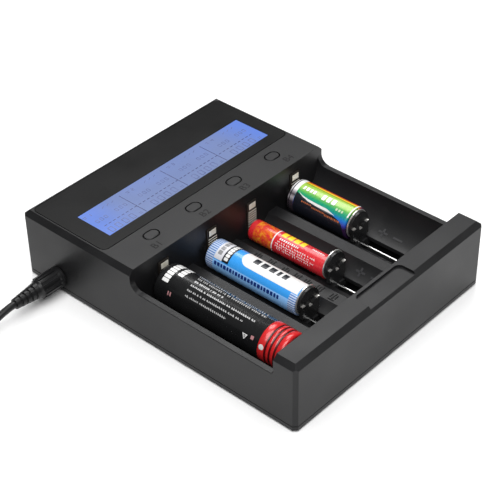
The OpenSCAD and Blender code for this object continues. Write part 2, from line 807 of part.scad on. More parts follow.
module positive_contact(i) {
    z0 = z_floor + strip_foot;
    z1 = z_top - strip_top_drop;
    rib_side = 0.4;
    rib_start = 1;
    tab_side = 1;
    tab_drop = 0.6;
    ribs = floor((z1 - z0 - strip_tab_h - rib_start)/strip_rib_pitch);
    color("silver") translate([bay_x[i], 0, 0]) {
        block([-strip_w/2, y_strip, z0], [strip_w/2, y_bays + strip_t - seat, z1]);
        for (k = [0:ribs - 1])
            rod_x(y_strip, z0 + rib_start + k*strip_rib_pitch, 2*rib_r,
                -strip_w/2 + rib_side, strip_w/2 - rib_side);
        block([-strip_w/2 + tab_side, y_strip - rib_r, z1 - strip_tab_h],
            [strip_w/2 - tab_side, y_bays, z1 - tab_drop]);
        block([-strip_leg_w/2, y_bays, strip_leg_z],
            [strip_leg_w/2, y_block + strip_leg_l, strip_leg_z + strip_t]);
    }
}

module dc_socket() {
    mouth = socket_hole_d - 2*fit;
    mouth_drop = 0.4;
    bore_d = barrel_d + 2*barrel_gap;
    bore_end = 2;
    tab_w = 2;
    tab_y = 2.5;
    tab_x = power_board_x + 4;
    color("#1a1a1b") difference() {
        union() {
            block([-x_in, y_socket - socket_w/2, z_socket - socket_tall/2],
                [-x_in + socket_l, y_socket + socket_w/2, z_socket + socket_tall/2]);
            rod_x(y_socket, z_socket, mouth, -x_side + mouth_drop, -x_in + 1);
            // Terminals that lie on the power board
            for (y = [y_socket - tab_y, y_socket + tab_y])
                block([-x_in + socket_l - 1, y - tab_w/2, z_power_board],
                    [tab_x, y + tab_w/2, z_power_board + strip_t]);
        }
        rod_x(y_socket, z_socket, bore_d, -x_side - 1, -x_in + socket_l - bore_end);
    }
}

module dc_socket_pin() {
    pin_start = -x_in - 1;
    pin_l = 12;
    color("silver") rod_x(y_socket, z_socket, socket_pin_d, pin_start, pin_start + pin_l);
}

// Turns a drawing of radius and length about the plug's axis, away from the housing
module on_plug_axis() {
    translate([-x_side, y_socket, z_socket]) rotate([0, -90, 0]) children();
}

module dc_plug() {
    edge = 0.4;
    grip_drop = 0.5;
    rib_end = 1.6;
    step = relief_l/(relief_grooves + 1);
    taper = (relief_d1 - relief_d2)/relief_l;
    color("#242426") on_plug_axis() difference() {
        union() {
            rotate_extrude() polygon([[0, seat], [plug_d/2 - edge, seat], [plug_d/2, seat + edge],
                [plug_d/2, collar_l], [plug_d/2 - grip_drop, collar_l + grip_drop],
                [plug_d/2 - grip_drop, plug_grip_l - 1], [relief_d1/2, plug_grip_l],
                [relief_d2/2, plug_grip_l + relief_l], [0, plug_grip_l + relief_l]]);
            for (k = [0:grip_ribs - 1]) rotate(k*360/grip_ribs)
                translate([plug_d/2 - 1, -grip_rib_w/2, collar_l])
                    cube([1, grip_rib_w, plug_grip_l - collar_l - rib_end]);
        }
        // Rings of the strain relief
        for (k = [1:relief_grooves]) translate([0, 0, plug_grip_l + k*step - groove_w/2]) difference() {
            cylinder(d = plug_d, h = groove_w);
            translate([0, 0, -1]) cylinder(d = relief_d1 - taper*k*step - 2*groove_t, h = groove_w + 2);
        }
    }
}

module dc_plug_barrel() {
    color("silver") on_plug_axis() difference() {
        translate([0, 0, -barrel_l]) cylinder(d = barrel_d, h = barrel_l + seat);
        translate([0, 0, -barrel_l - 1]) cylinder(d = barrel_bore_d, h = barrel_l);
    }
}

// Direction of the cord at one of its route's points, level at both ends
function along(route, i) =
    let (last = len(route) - 1)
    let (step = i == 0 || i == last ? [-1, 0, 0] : route[i + 1] - route[i - 1])
    step/norm(step);

// Corners of the ring around one of the route's points
function ring(route, i) =
    let (way = along(route, i))
    let (side = cross([0, 0, 1], way)/norm(cross([0, 0, 1], way)))
    let (rise = cross(way, side))
    [for (k = [0:cord_sides - 1]) let (a = (k + 0.5)*360/cord_sides)
        route[i] + cord_d/2*(cos(a)*side + sin(a)*rise)];

module cord() {
    last = len(cord_route) - 1;
    points = [for (i = [0:last]) each ring(cord_route, i)];
    sides = [for (i = [0:last - 1], k = [0:cord_sides - 1]) let (a = i*cord_sides, b = (k + 1)%cord_sides)
        [a + k, a + b, a + b + cord_sides, a + k + cord_sides]];
    first_end = [for (k = [cord_sides - 1:-1:0]) k];
    last_end = [for (k = [0:cord_sides - 1]) last*cord_sides + k];
    color("#1c1c1e") polyhedron(points, concat(sides, [first_end, last_end]), convexity = 4);
}

module on_coil() {
    translate([coil_centre.x, coil_centre.y, tie_t]) children();
}

module cord_coil() {
    color("#1c1c1e") on_coil() rotate_extrude() translate([coil_d/2, coil_h/2])
        cut_rect(coil_w, coil_h, cord_d/3);
}

module cord_tie() {
    inner = -coil_w/2 - tie_gap;
    outer = coil_w/2 + seat;
    color("#2c2c30") on_coil() rotate(tie_angle) translate([coil_d/2, 0, 0]) difference() {
        block([inner - tie_t, -tie_w/2, -tie_t], [outer + tie_t, tie_w/2, coil_h + tie_t]);
        block([inner, -tie_w, -fit], [outer, tie_w, coil_h + fit]);
    }
}

// Along the coil's side, on top of its turns
module on_usb() {
    translate([coil_centre.x, coil_centre.y, tie_t + coil_h + fit]) rotate(90)
        translate([usb_start, usb_offset, 0]) children();
}

module usb_plug_body() {
    edge = 1;
    color("#242426") on_usb() difference() {
        translate([0, 0, usb_body.z/2]) rotate([0, 90, 0]) linear_extrude(usb_body.x)
            cut_rect(usb_body.z, usb_body.y, edge);
        translate([usb_body.x - usb_shell_sink, -usb_shell.y/2 - fit, (usb_body.z - usb_shell.z)/2 - fit])
            cube([usb_shell.x, usb_shell.y + 2*fit, usb_shell.z + 2*fit]);
    }
}

module usb_plug_shell() {
    lift = (usb_body.z - usb_shell.z)/2;
    color("silver") on_usb() translate([usb_body.x - usb_shell_sink, 0, lift]) difference() {
        translate([0, -usb_shell.y/2, 0]) cube([usb_shell.x + usb_shell_sink, usb_shell.y, usb_shell.z]);
        translate([1, -usb_shell.y/2 + usb_wall, usb_shell.z/2])
            cube([usb_shell.x + usb_shell_sink, usb_shell.y - 2*usb_wall, usb_shell.z/2 - usb_wall]);
    }
}

module cell(i) {
    r = cell_d[i]/2;
    edge = 0.7;
    cap_r = min(0.36*r, 3);
    cap_t = 1.4;
    cap_edge = 0.2;
    crimp_t = 0.3;
    crimp_w = 0.6;
    rim_r = r - edge - crimp_w - crimp_t;
    tints = ["#26282b", "#5fa9dd", "#e04a50", "#58b069"];
    l = cell_l[i];
    color(tints[i]) translate([bay_x[i], y_cells, z_floor + r + fit]) rotate([90, 0, 0]) rotate_extrude()
        polygon([[0, 0], [cap_r - cap_edge, 0], [cap_r, cap_edge], [cap_r, cap_t], [rim_r, cap_t],
            [rim_r + crimp_w, cap_t - crimp_t], [r - edge, cap_t - crimp_t], [r, cap_t + edge],
            [r, l - edge], [r - edge, l], [0, l]]);
}

// A screw with a cross in its head, pointing up
module screw(length) {
    cross_w = 0.8;
    cross_l = 0.6*screw_head_d;
    cross_t = 0.6*screw_head_t;
    difference() {
        union() {
            cylinder(d = screw_head_d, h = screw_head_t);
            cylinder(d = screw_d, h = screw_head_t + length);
        }
        translate([-cross_l/2, -cross_w/2, -1]) cube([cross_l, cross_w, 1 + cross_t]);
        translate([-cross_w/2, -cross_l/2, -1]) cube([cross_w, cross_l, 1 + cross_t]);
    }
}

module case_screws() {
    for (p = case_posts) color("#8a8a8c") translate([p.x, p.y, z_screw_head]) screw(thread_l);
}

module board_screws() {
    for (p = display_posts) color("#8a8a8c") translate([p.x, p.y, z_display_board - board_t - screw_head_t])
        screw(board_t + board_thread_l);
    for (p = power_posts) color("#8a8a8c") translate([p.x, p.y, z_power_board + screw_head_t])
        mirror([0, 0, 1]) screw(board_t + standoff_h);
}

module rubber_feet() {
    edge = 0.5;
    for (x = [-foot_x, foot_x], y = foot_y) color("#1b1b1c") translate([x, y, 0]) rotate_extrude()
        polygon([[0, 0], [foot_d/2 - edge, 0], [foot_d/2, edge], [foot_d/2, z_under + foot_sink],
            [0, z_under + foot_sink]]);
}

upper_housing();
base_plate();
display_panel();
lcd_glass();
lcd_backlight();
display_board();
power_board();
board_link();
controller_chip();
inductors();
capacitors();
transistors();
tact_switches();
button(0);  // button_1
button(1);  // button_2
button(2);  // button_3
button(3);  // button_4
slider(0);  // slider_1
slider(1);  // slider_2
slider(2);  // slider_3
slider(3);  // slider_4
slider_contact(0);  // slider_contact_1
slider_contact(1);  // slider_contact_2
slider_contact(2);  // slider_contact_3
slider_contact(3);  // slider_contact_4
slider_spring(0);  // slider_spring_1
slider_spring(1);  // slider_spring_2
slider_spring(2);  // slider_spring_3
slider_spring(3);  // slider_spring_4
guide_rod(0);  // guide_rod_1
guide_rod(1);  // guide_rod_2
guide_rod(2);  // guide_rod_3
guide_rod(3);  // guide_rod_4
positive_contact(0);  // positive_contact_1
positive_contact(1);  // positive_contact_2
positive_contact(2);  // positive_contact_3
positive_contact(3);  // positive_contact_4
dc_socket();
dc_socket_pin();
dc_plug();
dc_plug_barrel();
cord();
cord_coil();
cord_tie();
usb_plug_body();
usb_plug_shell();
cell(0);  // cell_1
cell(1);  // cell_2
cell(2);  // cell_3
cell(3);  // cell_4
case_screws();
board_screws();
rubber_feet();
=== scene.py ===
"""Finishes, print, figures and lead of a four-bay cell charger, set on its solids."""

import math
import random

import bmesh
import bpy
from bpy.props import FloatProperty, FloatVectorProperty, IntProperty, PointerProperty
from mathutils import Matrix, Vector


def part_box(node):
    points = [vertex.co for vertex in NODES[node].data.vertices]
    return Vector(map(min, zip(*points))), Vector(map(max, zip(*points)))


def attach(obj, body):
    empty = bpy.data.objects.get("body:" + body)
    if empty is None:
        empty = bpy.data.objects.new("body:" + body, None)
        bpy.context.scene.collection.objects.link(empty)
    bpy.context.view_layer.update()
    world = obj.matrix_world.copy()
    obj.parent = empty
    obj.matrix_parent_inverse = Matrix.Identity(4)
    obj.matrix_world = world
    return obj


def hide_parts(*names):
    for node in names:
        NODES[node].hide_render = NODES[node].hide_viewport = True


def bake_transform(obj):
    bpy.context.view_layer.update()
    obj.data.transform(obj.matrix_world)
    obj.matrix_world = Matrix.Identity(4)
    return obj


bl_info = {
    "name": "Four-bay cell charger",
    "version": (1, 0, 0),
    "blender": (4, 5, 0),
    "location": "View3D > Sidebar > Charger",
    "description": "Finishes a four-bay cell charger with its display, cells and coiled lead",
    "category": "Object",
}

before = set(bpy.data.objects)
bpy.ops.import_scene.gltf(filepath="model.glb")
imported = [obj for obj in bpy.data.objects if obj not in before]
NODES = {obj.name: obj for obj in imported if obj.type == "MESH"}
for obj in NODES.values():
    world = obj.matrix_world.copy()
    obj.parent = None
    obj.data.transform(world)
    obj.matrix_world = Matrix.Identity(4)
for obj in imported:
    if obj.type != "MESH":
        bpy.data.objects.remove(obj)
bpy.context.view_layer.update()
BODY = "charger"
BAYS = (1, 2, 3, 4)
# A millimetre in the frame's metres
MM = 0.001


# Settings that a user would change


def colour(name, description, value):
    """A colour setting."""
    return FloatVectorProperty(
        name=name, description=description, subtype="COLOR", default=value, min=0, max=1)


def length(name, description, value):
    """A length setting."""
    return FloatProperty(name=name, description=description, unit="LENGTH", default=value, min=0, precision=5)


def power(name, description, value):
    """A light's setting."""
    return FloatProperty(name=name, description=description, unit="POWER", default=value, min=0)


def angle(name, description, degrees):
    """An angle setting."""
    return FloatProperty(name=name, description=description, subtype="ANGLE", default=math.radians(degrees))


def amount(name, description, value):
    """A plain number's setting."""
    return FloatProperty(name=name, description=description, default=value, min=0)


class StageSettings(bpy.types.PropertyGroup):
    """Floor, lights and camera"""

    floor_colour: colour("Floor", "Colour of the pale floor", (0.94, 0.94, 0.94))
    room_light: amount("Room light", "Strength of the even light around", 0.10)
    key_light: power("Key light", "Large soft light over the front left", 29)
    back_light: power("Back light", "Soft light behind, mirrored in the top faces", 6)
    front_light: power("Front light", "Low soft light in front of the rail", 2)
    camera_place: FloatVectorProperty(
        name="Camera", description="Place of the camera", subtype="TRANSLATION", unit="LENGTH",
        default=(-0.39113, -0.35499, 0.42598))
    camera_heading: angle("Heading", "Turn of the camera about the vertical", -47.695)
    camera_tilt: angle("Tilt", "Height angle of the camera", 37.806)
    camera_roll: angle("Roll", "Lean of the camera", -0.922)
    lens: FloatProperty(name="Lens", description="Focal length", unit="CAMERA", default=104.81, min=20)


class BodySettings(bpy.types.PropertyGroup):
    """Moulded and metal parts"""

    housing_colour: colour("Housing", "Colour of the moulded housing", (0.0075, 0.0075, 0.0081))
    panel_colour: colour("Panel", "Colour of the display panel", (0.0055, 0.0055, 0.0056))
    slider_colour: colour("Sliders", "Colour of the sliders", (0.013, 0.013, 0.0135))
    grain: length("Grain", "Size of the moulded texture", 0.00042)
    mark_height: length("Marks", "Height of raised marks in the bays", 0.00018)
    legend_size: length("Legends", "Size of the letters beside the keys", 0.0053)
    legend_offset: FloatVectorProperty(
        name="Legend offset", description="From a bay's middle line and its key to its legend",
        subtype="TRANSLATION", unit="LENGTH", size=2, default=(0.0012, -0.0072))
    spring_turns: IntProperty(
        name="Spring turns", description="Turns of the shortest return spring", default=26, min=6)


class DisplaySettings(bpy.types.PropertyGroup):
    """Lit display"""

    glow_colour: colour("Glow", "Colour of the lit display", (0.25, 0.32, 0.55))
    edge_colour: colour("Ends", "Colour of the lit display near its lamps", (0.17, 0.30, 0.86))
    figure_colour: colour("Figures", "Colour of the figures", (0.115, 0.15, 0.31))
    line_colour: colour("Lines", "Colour of the dividing lines", (0.035, 0.042, 0.11))
    glow: amount("Strength", "Strength of the backlight", 0.85)
    digit_height: length("Digits", "Height of the large digits", 0.0040)
    small_height: length("Small digits", "Height of the small digits", 0.0021)


class CellSettings(bpy.types.PropertyGroup):
    """Sleeves of the cells"""

    black: colour("First sleeve", "Sleeve of the cell in the first bay", (0.006, 0.0062, 0.0066))
    cap_red: colour("First cap", "Front cap of the cell in the first bay", (0.55, 0.016, 0.018))
    blue: colour("Second sleeve", "Sleeve of the cell in the second bay", (0.035, 0.30, 0.76))
    pale_blue: colour("Second sleeve, side", "Lower side of the second sleeve", (0.26, 0.54, 0.96))
    red: colour("Third sleeve", "Sleeve of the cell in the third bay", (0.58, 0.018, 0.026))
    white: colour("Print", "White print", (0.78, 0.78, 0.77))
    grey: colour("Fine print", "Pale grey fine print", (0.42, 0.42, 0.42))
    yellow: colour("Yellow print", "Yellow print", (0.80, 0.60, 0.015))


class LeadSettings(bpy.types.PropertyGroup):
    """Power lead"""

    diameter: length("Diameter", "Diameter of the cord", 0.0035)
    run: length("Free run", "Cord between the plug and the coil", 0.032)
    row_pitch: length("Row pitch", "Distance between turns side by side", 0.00356)
    layer_pitch: length("Layer pitch", "Distance between layers of turns", 0.00352)
    coil_radius: length("Coil radius", "Radius at the middle of the turns", 0.020)


# Short calls for node trees


def join(tree, socket, value):
    """Joins an output to a socket, or sets the socket's own value."""
    if isinstance(value, bpy.types.NodeSocket):
        tree.links.new(value, socket)
    else:
        socket.default_value = value


def add(tree, kind, inputs=None, **settings):
    """Adds a node with its settings and inputs."""
    node = tree.nodes.new(kind)
    for name, value in settings.items():
        setattr(node, name, value)
    for name, value in (inputs or {}).items():
        join(tree, node.inputs[name], value)
    return node


def calc(tree, operation, a, b=0.5, c=0.5, clamp=False):
    """One Math node's result."""
    return add(tree, "ShaderNodeMath", {0: a, 1: b, 2: c}, operation=operation, use_clamp=clamp).outputs[0]


def span(tree, value, low, high, to_low=0.0, to_high=1.0, smooth=False):
    """A value carried from one range to another."""
    node = add(tree, "ShaderNodeMapRange", {"Value": value, "From Min": low, "From Max": high,
                                            "To Min": to_low, "To Max": to_high})
    if smooth:
        node.interpolation_type = "SMOOTHSTEP"
    return node.outputs[0]


def spread(tree, pattern, low, high):
    """The middle range of a noise pattern, carried to a range of values."""
    return span(tree, pattern, 0.3, 0.7, low, high)


def toned(shade, factor):
    """A colour made lighter or darker."""
    return tuple(c*factor for c in shade)


def mixed(tree, mask, a, b):
    """Two colours mixed by a mask."""
    # Sockets of the colours and of their mix, in a Mix node that is set to colours
    first, second, result = 6, 7, 2
    node = add(tree, "ShaderNodeMix", data_type="RGBA")
    join(tree, node.inputs[0], mask)
    for socket, shade in ((first, a), (second, b)):
        join(tree, node.inputs[socket], (*shade, 1) if isinstance(shade, tuple) else shade)
    return node.outputs[result]


def ramp(tree, value, stops):
    """Colours along a value."""
    node = add(tree, "ShaderNodeValToRGB", {0: value})
    elements = node.color_ramp.elements
    while len(elements) < len(stops):
        elements.new(0.5)
    for element, (place, shade) in zip(elements, stops):
        element.position = place
        element.color = (*shade, 1)
    return node.outputs[0]


def group_tree(name, inputs, outputs):
    """Starts a shader group with named sockets."""
    group = bpy.data.node_groups.new(name, "ShaderNodeTree")
    for label, kind, value in inputs:
        socket = group.interface.new_socket(label, in_out="INPUT", socket_type="NodeSocket" + kind)
        if value is not None:
            socket.default_value = value
    for label, kind in outputs:
        group.interface.new_socket(label, in_out="OUTPUT", socket_type="NodeSocket" + kind)
    return group, group.nodes.new("NodeGroupInput").outputs, group.nodes.new("NodeGroupOutput").inputs


def noise(tree, vector, scale, detail=2.0, roughness=0.5):
    """A noise pattern's value."""
    return add(tree, "ShaderNodeTexNoise", {"Vector": vector, "Scale": scale, "Detail": detail,
                                            "Roughness": roughness}).outputs[0]


def moulded_grain():
    """Fine texture of moulded plastic, with faint smooth patches from handling."""
    name = "Moulded grain"
    if name in bpy.data.node_groups:
        return bpy.data.node_groups[name]
    tree, given, out = group_tree(
        name,
        [("Vector", "Vector", None), ("Grain", "Float", 2400.0), ("Smooth", "Float", 0.42),
         ("Rough", "Float", 0.56)],
        [("Height", "Float"), ("Roughness", "Float"), ("Mottle", "Float")])
    fine = noise(tree, given["Vector"], given["Grain"], 2.0)
    patch_scale = calc(tree, "MULTIPLY", given["Grain"], 0.016)
    broad = noise(tree, given["Vector"], patch_scale, 3.0)
    join(tree, out["Height"], fine)
    patch = span(tree, broad, 0.32, 0.68)
    step = calc(tree, "SUBTRACT", given["Rough"], given["Smooth"])
    join(tree, out["Roughness"], calc(tree, "MULTIPLY_ADD", patch, step, given["Smooth"]))
    join(tree, out["Mottle"], span(tree, calc(tree, "ADD", fine, broad), 0.7, 1.3))
    return tree


def edge_softening():
    """Normal that rounds crisp edges, and a mask of where they are."""
    name = "Edge softening"
    if name in bpy.data.node_groups:
        return bpy.data.node_groups[name]
    tree, given, out = group_tree(
        name, [("Radius", "Float", 0.0003)], [("Normal", "Vector"), ("Edge", "Float")])
    bevel = add(tree, "ShaderNodeBevel", {"Radius": given["Radius"]}, samples=4)
    face = add(tree, "ShaderNodeNewGeometry")
    facing = add(tree, "ShaderNodeVectorMath", {0: bevel.outputs[0], 1: face.outputs["Normal"]},
                 operation="DOT_PRODUCT")
    join(tree, out["Normal"], bevel.outputs[0])
    join(tree, out["Edge"], span(tree, facing.outputs["Value"], 0.995, 0.86))
    return tree


def metal_streaks():
    """Fine drawn lines of plated strip and wire."""
    name = "Metal streaks"
    if name in bpy.data.node_groups:
        return bpy.data.node_groups[name]
    tree, given, out = group_tree(
        name, [("Vector", "Vector", None), ("Stretch", "Vector", (4000.0, 120.0, 4000.0))],
        [("Streak", "Float"), ("Stain", "Float")])
    drawn = add(tree, "ShaderNodeVectorMath", {0: given["Vector"], 1: given["Stretch"]}, operation="MULTIPLY")
    join(tree, out["Streak"], noise(tree, drawn.outputs[0], 1.0, 3.0))
    join(tree, out["Stain"], span(tree, noise(tree, given["Vector"], 420.0, 3.0), 0.35, 0.7))
    return tree


def use(tree, group, **inputs):
    """Places a shader group in a material."""
    node = add(tree, "ShaderNodeGroup", node_tree=group)
    for name, value in inputs.items():
        join(tree, node.inputs[name], value)
    return node.outputs


# Finishes


def start_finish(name):
    """A new material: itself, its tree, its shader and Object coordinates."""
    material = bpy.data.materials.new(name)
    material.use_nodes = True
    tree = material.node_tree
    place = add(tree, "ShaderNodeTexCoord").outputs["Object"]
    return material, tree, tree.nodes["Principled BSDF"].inputs, place


def bump(tree, height, strength, distance, normal=None):
    """Normal of a fine relief."""
    node = add(tree, "ShaderNodeBump", {"Strength": strength, "Distance": distance, "Height": height})
    if normal is not None:
        tree.links.new(normal, node.inputs["Normal"])
    return node.outputs[0]


def moulded(name, shade, grain=0.00042, smooth=0.36, rough=0.46, relief=0.3, edge=0.00025, specular=0.3,
            painted_edge_tone=1.6):
    """Moulded plastic with a fine grain and softened edges, which carry painted highlights, or painted shade
    where the edge factor is under one.
    """
    material, tree, shader, place = start_finish(name)
    texture = use(tree, moulded_grain(), Vector=place, Grain=1/grain, Smooth=smooth, Rough=rough)
    light = tuple(c*1.3 + 0.001 for c in shade)
    tone = mixed(tree, texture["Mottle"], toned(shade, 0.82), light)
    normal = None
    if edge:
        soft = use(tree, edge_softening(), Radius=edge)
        # Painted light along the edges: the edge factor paints a highlight above one and shade below one
        tone = mixed(tree, calc(tree, "MULTIPLY", soft["Edge"], 0.6), tone, toned(shade, painted_edge_tone))
        normal = soft["Normal"]
    join(tree, shader["Base Color"], tone)
    join(tree, shader["Roughness"], texture["Roughness"])
    shader["Specular IOR Level"].default_value = specular
    join(tree, shader["Normal"], bump(tree, texture["Height"], relief, 0.00006, normal))
    return material


def plated(name, shade, roughness, stretch, dull=0.12, metallic=1.0):
    """Plated or drawn metal with fine streaks."""
    material, tree, shader, place = start_finish(name)
    lines = use(tree, metal_streaks(), Vector=place, Stretch=stretch)
    tone = mixed(tree, lines["Streak"], toned(shade, 0.86), shade)
    stain = calc(tree, "MULTIPLY", lines["Stain"], dull)
    join(tree, shader["Base Color"], mixed(tree, stain, tone, toned(shade, 0.55)))
    shader["Metallic"].default_value = metallic
    smooth, rough = roughness*0.7, roughness*1.35
    join(tree, shader["Roughness"], span(tree, lines["Streak"], 0.25, 0.75, smooth, rough))
    join(tree, shader["Normal"], bump(tree, lines["Streak"], 0.12, 0.00002))
    return material


def contact_strip():
    """Plated strip behind a cell: bright metal on the crests of its raised tab and ribs, narrowed to painted
    highlights, and painted shade on the plate between them.
    """
    material, tree, shader, place = start_finish("Contact strip")
    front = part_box("positive_contact_1")[0].y
    axes = add(tree, "ShaderNodeSeparateXYZ", {0: place}).outputs
    raised = span(tree, axes["Y"], front + 0.00009, front + 0.00003)
    stain = use(tree, metal_streaks(), Vector=place, Stretch=(2500.0, 2500.0, 300.0))["Stain"]
    bright = mixed(tree, stain, (0.95, 0.92, 0.82), (0.80, 0.75, 0.62))
    # Painted light: only the crests keep the bright metal, as painted highlights, and the plate behind them
    # is painted dark as shade
    join(tree, shader["Base Color"], mixed(tree, raised, (0.020, 0.016, 0.013), bright))
    shader["Metallic"].default_value = 0.25
    join(tree, shader["Roughness"], span(tree, raised, 0, 1, 0.5, 0.36))
    join(tree, shader["Normal"], bump(tree, stain, 0.1, 0.00003))
    return material


def circuit_board():
    """Green solder mask with tracks, pads and a ground fill."""
    material, tree, shader, place = start_finish("Circuit board")
    tracks = add(tree, "ShaderNodeTexBrick", {
        "Vector": place, "Color1": (1, 1, 1, 1), "Color2": (0, 0, 0, 1), "Mortar": (0.5, 0.5, 0.5, 1),
        "Scale": 110.0, "Mortar Size": 0.03})
    pads = add(tree, "ShaderNodeTexVoronoi", {"Vector": place, "Scale": 260.0,
                                              "Randomness": 0.35}).outputs["Distance"]
    fill = mixed(tree, tracks.outputs[1], (0.012, 0.085, 0.03), (0.02, 0.14, 0.05))
    spot = span(tree, pads, 0.2, 0.14)
    join(tree, shader["Base Color"], mixed(tree, spot, fill, (0.5, 0.47, 0.4)))
    join(tree, shader["Metallic"], spot)
    join(tree, shader["Roughness"], spread(tree, noise(tree, place, 900.0), 0.25, 0.4))
    join(tree, shader["Normal"], bump(tree, tracks.outputs[1], 0.2, 0.00004))
    return material


def capacitor_can():
    """Dark sleeve with a pale stripe and a bare metal top."""
    material, tree, shader, place = start_finish("Capacitor can")
    low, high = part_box("capacitors")
    axes = add(tree, "ShaderNodeSeparateXYZ", {0: place}).outputs
    top = span(tree, axes["Z"], high.z - 0.0006, high.z - 0.0004)
    stripe = span(tree, axes["Y"], low.y + 0.0012, low.y + 0.0010)
    sleeve = mixed(tree, stripe, (0.012, 0.016, 0.03), (0.55, 0.55, 0.52))
    grain = noise(tree, place, 1500.0)
    join(tree, shader["Base Color"], mixed(tree, top, sleeve, (0.7, 0.7, 0.71)))
    join(tree, shader["Metallic"], top)
    join(tree, shader["Roughness"], spread(tree, grain, 0.24, 0.38))
    join(tree, shader["Normal"], bump(tree, grain, 0.1, 0.00003))
    return material


def sleeve_film(name, shade_of):
    """Printed film on a cell, which shade_of paints by the way round it, along it and in space."""
    material, tree, shader, place = start_finish(name)
    unrolled = add(tree, "ShaderNodeUVMap", uv_map="wrap").outputs[0]
    wrap = add(tree, "ShaderNodeSeparateXYZ", {0: unrolled}).outputs
    scuff = noise(tree, place, 700.0, 4.0, 0.6)
    drawn = add(tree, "ShaderNodeVectorMath", {0: place, 1: (900.0, 140.0, 900.0)}, operation="MULTIPLY")
    pull = noise(tree, drawn.outputs[0], 1.0, 2.0)
    join(tree, shader["Base Color"], shade_of(tree, wrap["X"], wrap["Y"], place))
    join(tree, shader["Roughness"], spread(tree, scuff, 0.22, 0.36))
    join(tree, shader["Coat Weight"], spread(tree, scuff, 0.5, 0.3))
    shader["Coat Roughness"].default_value = 0.12
    join(tree, shader["Normal"], bump(tree, pull, 0.12, 0.00008))
    return material


def print_ink(name, shade):
    """Ink on a sleeve, thin in places; the same finish paints the shade in the cap's grooves."""
    material, tree, shader, place = start_finish(name)
    thin = noise(tree, place, 1600.0, 3.0)
    tone = mixed(tree, span(tree, thin, 0.35, 0.75), shade, toned(shade, 0.86))
    join(tree, shader["Base Color"], tone)
    join(tree, shader["Roughness"], spread(tree, thin, 0.26, 0.4))
    return material


def lit_glass():
    """Lit display glass, deeper blue at the lamps by its ends."""
    look = bpy.context.scene.charger_display
    material, tree, shader, place = start_finish("Lit display")
    low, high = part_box("lcd_glass")
    axes = add(tree, "ShaderNodeSeparateXYZ", {0: place}).outputs
    side = calc(tree, "ABSOLUTE", calc(tree, "SUBTRACT", axes["X"], (low.x + high.x)/2))
    lamp = tuple(look.edge_colour)
    half = (high.x - low.x)/2
    ends = span(tree, side, half*0.52, half*0.97, smooth=True)
    cloud = noise(tree, place, 60.0, 2.0)
    hazy = spread(tree, cloud, -0.12, 0.12)
    mask = calc(tree, "ADD", ends, hazy, clamp=True)
    glow = mixed(tree, mask, tuple(look.glow_colour), lamp)
    rear = span(tree, axes["Y"], low.y, high.y, 0.0, 0.22)
    glow = mixed(tree, rear, glow, lamp)
    join(tree, shader["Base Color"], mixed(tree, mask, (0.008, 0.010, 0.03), (0.004, 0.008, 0.035)))
    shader["Specular IOR Level"].default_value = 0.3
    join(tree, shader["Emission Color"], glow)
    shader["Emission Strength"].default_value = look.glow
    join(tree, shader["Roughness"], spread(tree, cloud, 0.12, 0.2))
    return material


def diffuser():
    """Milky sheet behind the display glass."""
    material, tree, shader, place = start_finish("Diffuser")
    haze = noise(tree, place, 500.0)
    join(tree, shader["Base Color"], mixed(tree, haze, (0.75, 0.77, 0.8), (0.86, 0.87, 0.9)))
    join(tree, shader["Roughness"], spread(tree, haze, 0.5, 0.65))
    return material


def figure_ink(name, shade):
    """Dark segments of the display, lit through a little."""
    material, tree, shader, place = start_finish(name)
    uneven = spread(tree, noise(tree, place, 300.0), 0.0, 1.0)
    join(tree, shader["Base Color"], mixed(tree, uneven, (0.012, 0.015, 0.04), (0.018, 0.022, 0.06)))
    join(tree, shader["Emission Color"], mixed(tree, uneven, shade, toned(shade, 1.2)))
    shader["Emission Strength"].default_value = bpy.context.scene.charger_display.glow
    join(tree, shader["Roughness"], span(tree, uneven, 0, 1, 0.18, 0.28))
    return material


def floor_paper(shade):
    """Seamless pale paper."""
    material, tree, shader, place = start_finish("Floor paper")
    fibre = noise(tree, place, 220.0, 4.0)
    join(tree, shader["Base Color"], mixed(tree, fibre, toned(shade, 0.985), shade))
    join(tree, shader["Roughness"], spread(tree, fibre, 0.85, 0.95))
    shader["Specular IOR Level"].default_value = 0.2
    return material


# Pieces


def smooth_step(t):
    """A share from 0 to 1 that starts and ends gently."""
    t = min(1, max(0, t))
    return t*t*(3 - 2*t)


def middle_of(node):
    """Middle of a solid's box."""
    low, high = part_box(node)
    return (low + high)/2


def set_finish(material, *nodes):
    """Gives solids of the frame their finish."""
    for node in nodes:
        mesh = NODES[node].data
        mesh.materials.clear()
        mesh.materials.append(material)
        mesh.polygons.foreach_set("material_index", [0]*len(mesh.polygons))


def numbered(stem):
    """Names of the four like pieces, one for each bay."""
    return [f"{stem}_{bay}" for bay in BAYS]


def placed(name, data):
    """A new object in the scene."""
    thing = bpy.data.objects.new(name, data)
    bpy.context.scene.collection.objects.link(thing)
    return thing


def new_piece(name, shape, materials=()):
    """Puts a finished shape on the charger's body."""
    for material in materials:
        shape.materials.append(material)
    piece = placed(name, shape)
    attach(piece, BODY)
    return piece


def mesh_of(name, bm):
    """A plain smooth mesh from a bmesh, which is freed."""
    mesh = bpy.data.meshes.new(name)
    bm.to_mesh(mesh)
    bm.free()
    mesh.polygons.foreach_set("use_smooth", [True]*len(mesh.polygons))
    return mesh


def plain_mesh(holder):
    """The final mesh of a passing object, which is removed."""
    view = bpy.context.evaluated_depsgraph_get()
    mesh = bpy.data.meshes.new_from_object(holder.evaluated_get(view), depsgraph=view)
    bpy.data.objects.remove(holder)
    return mesh


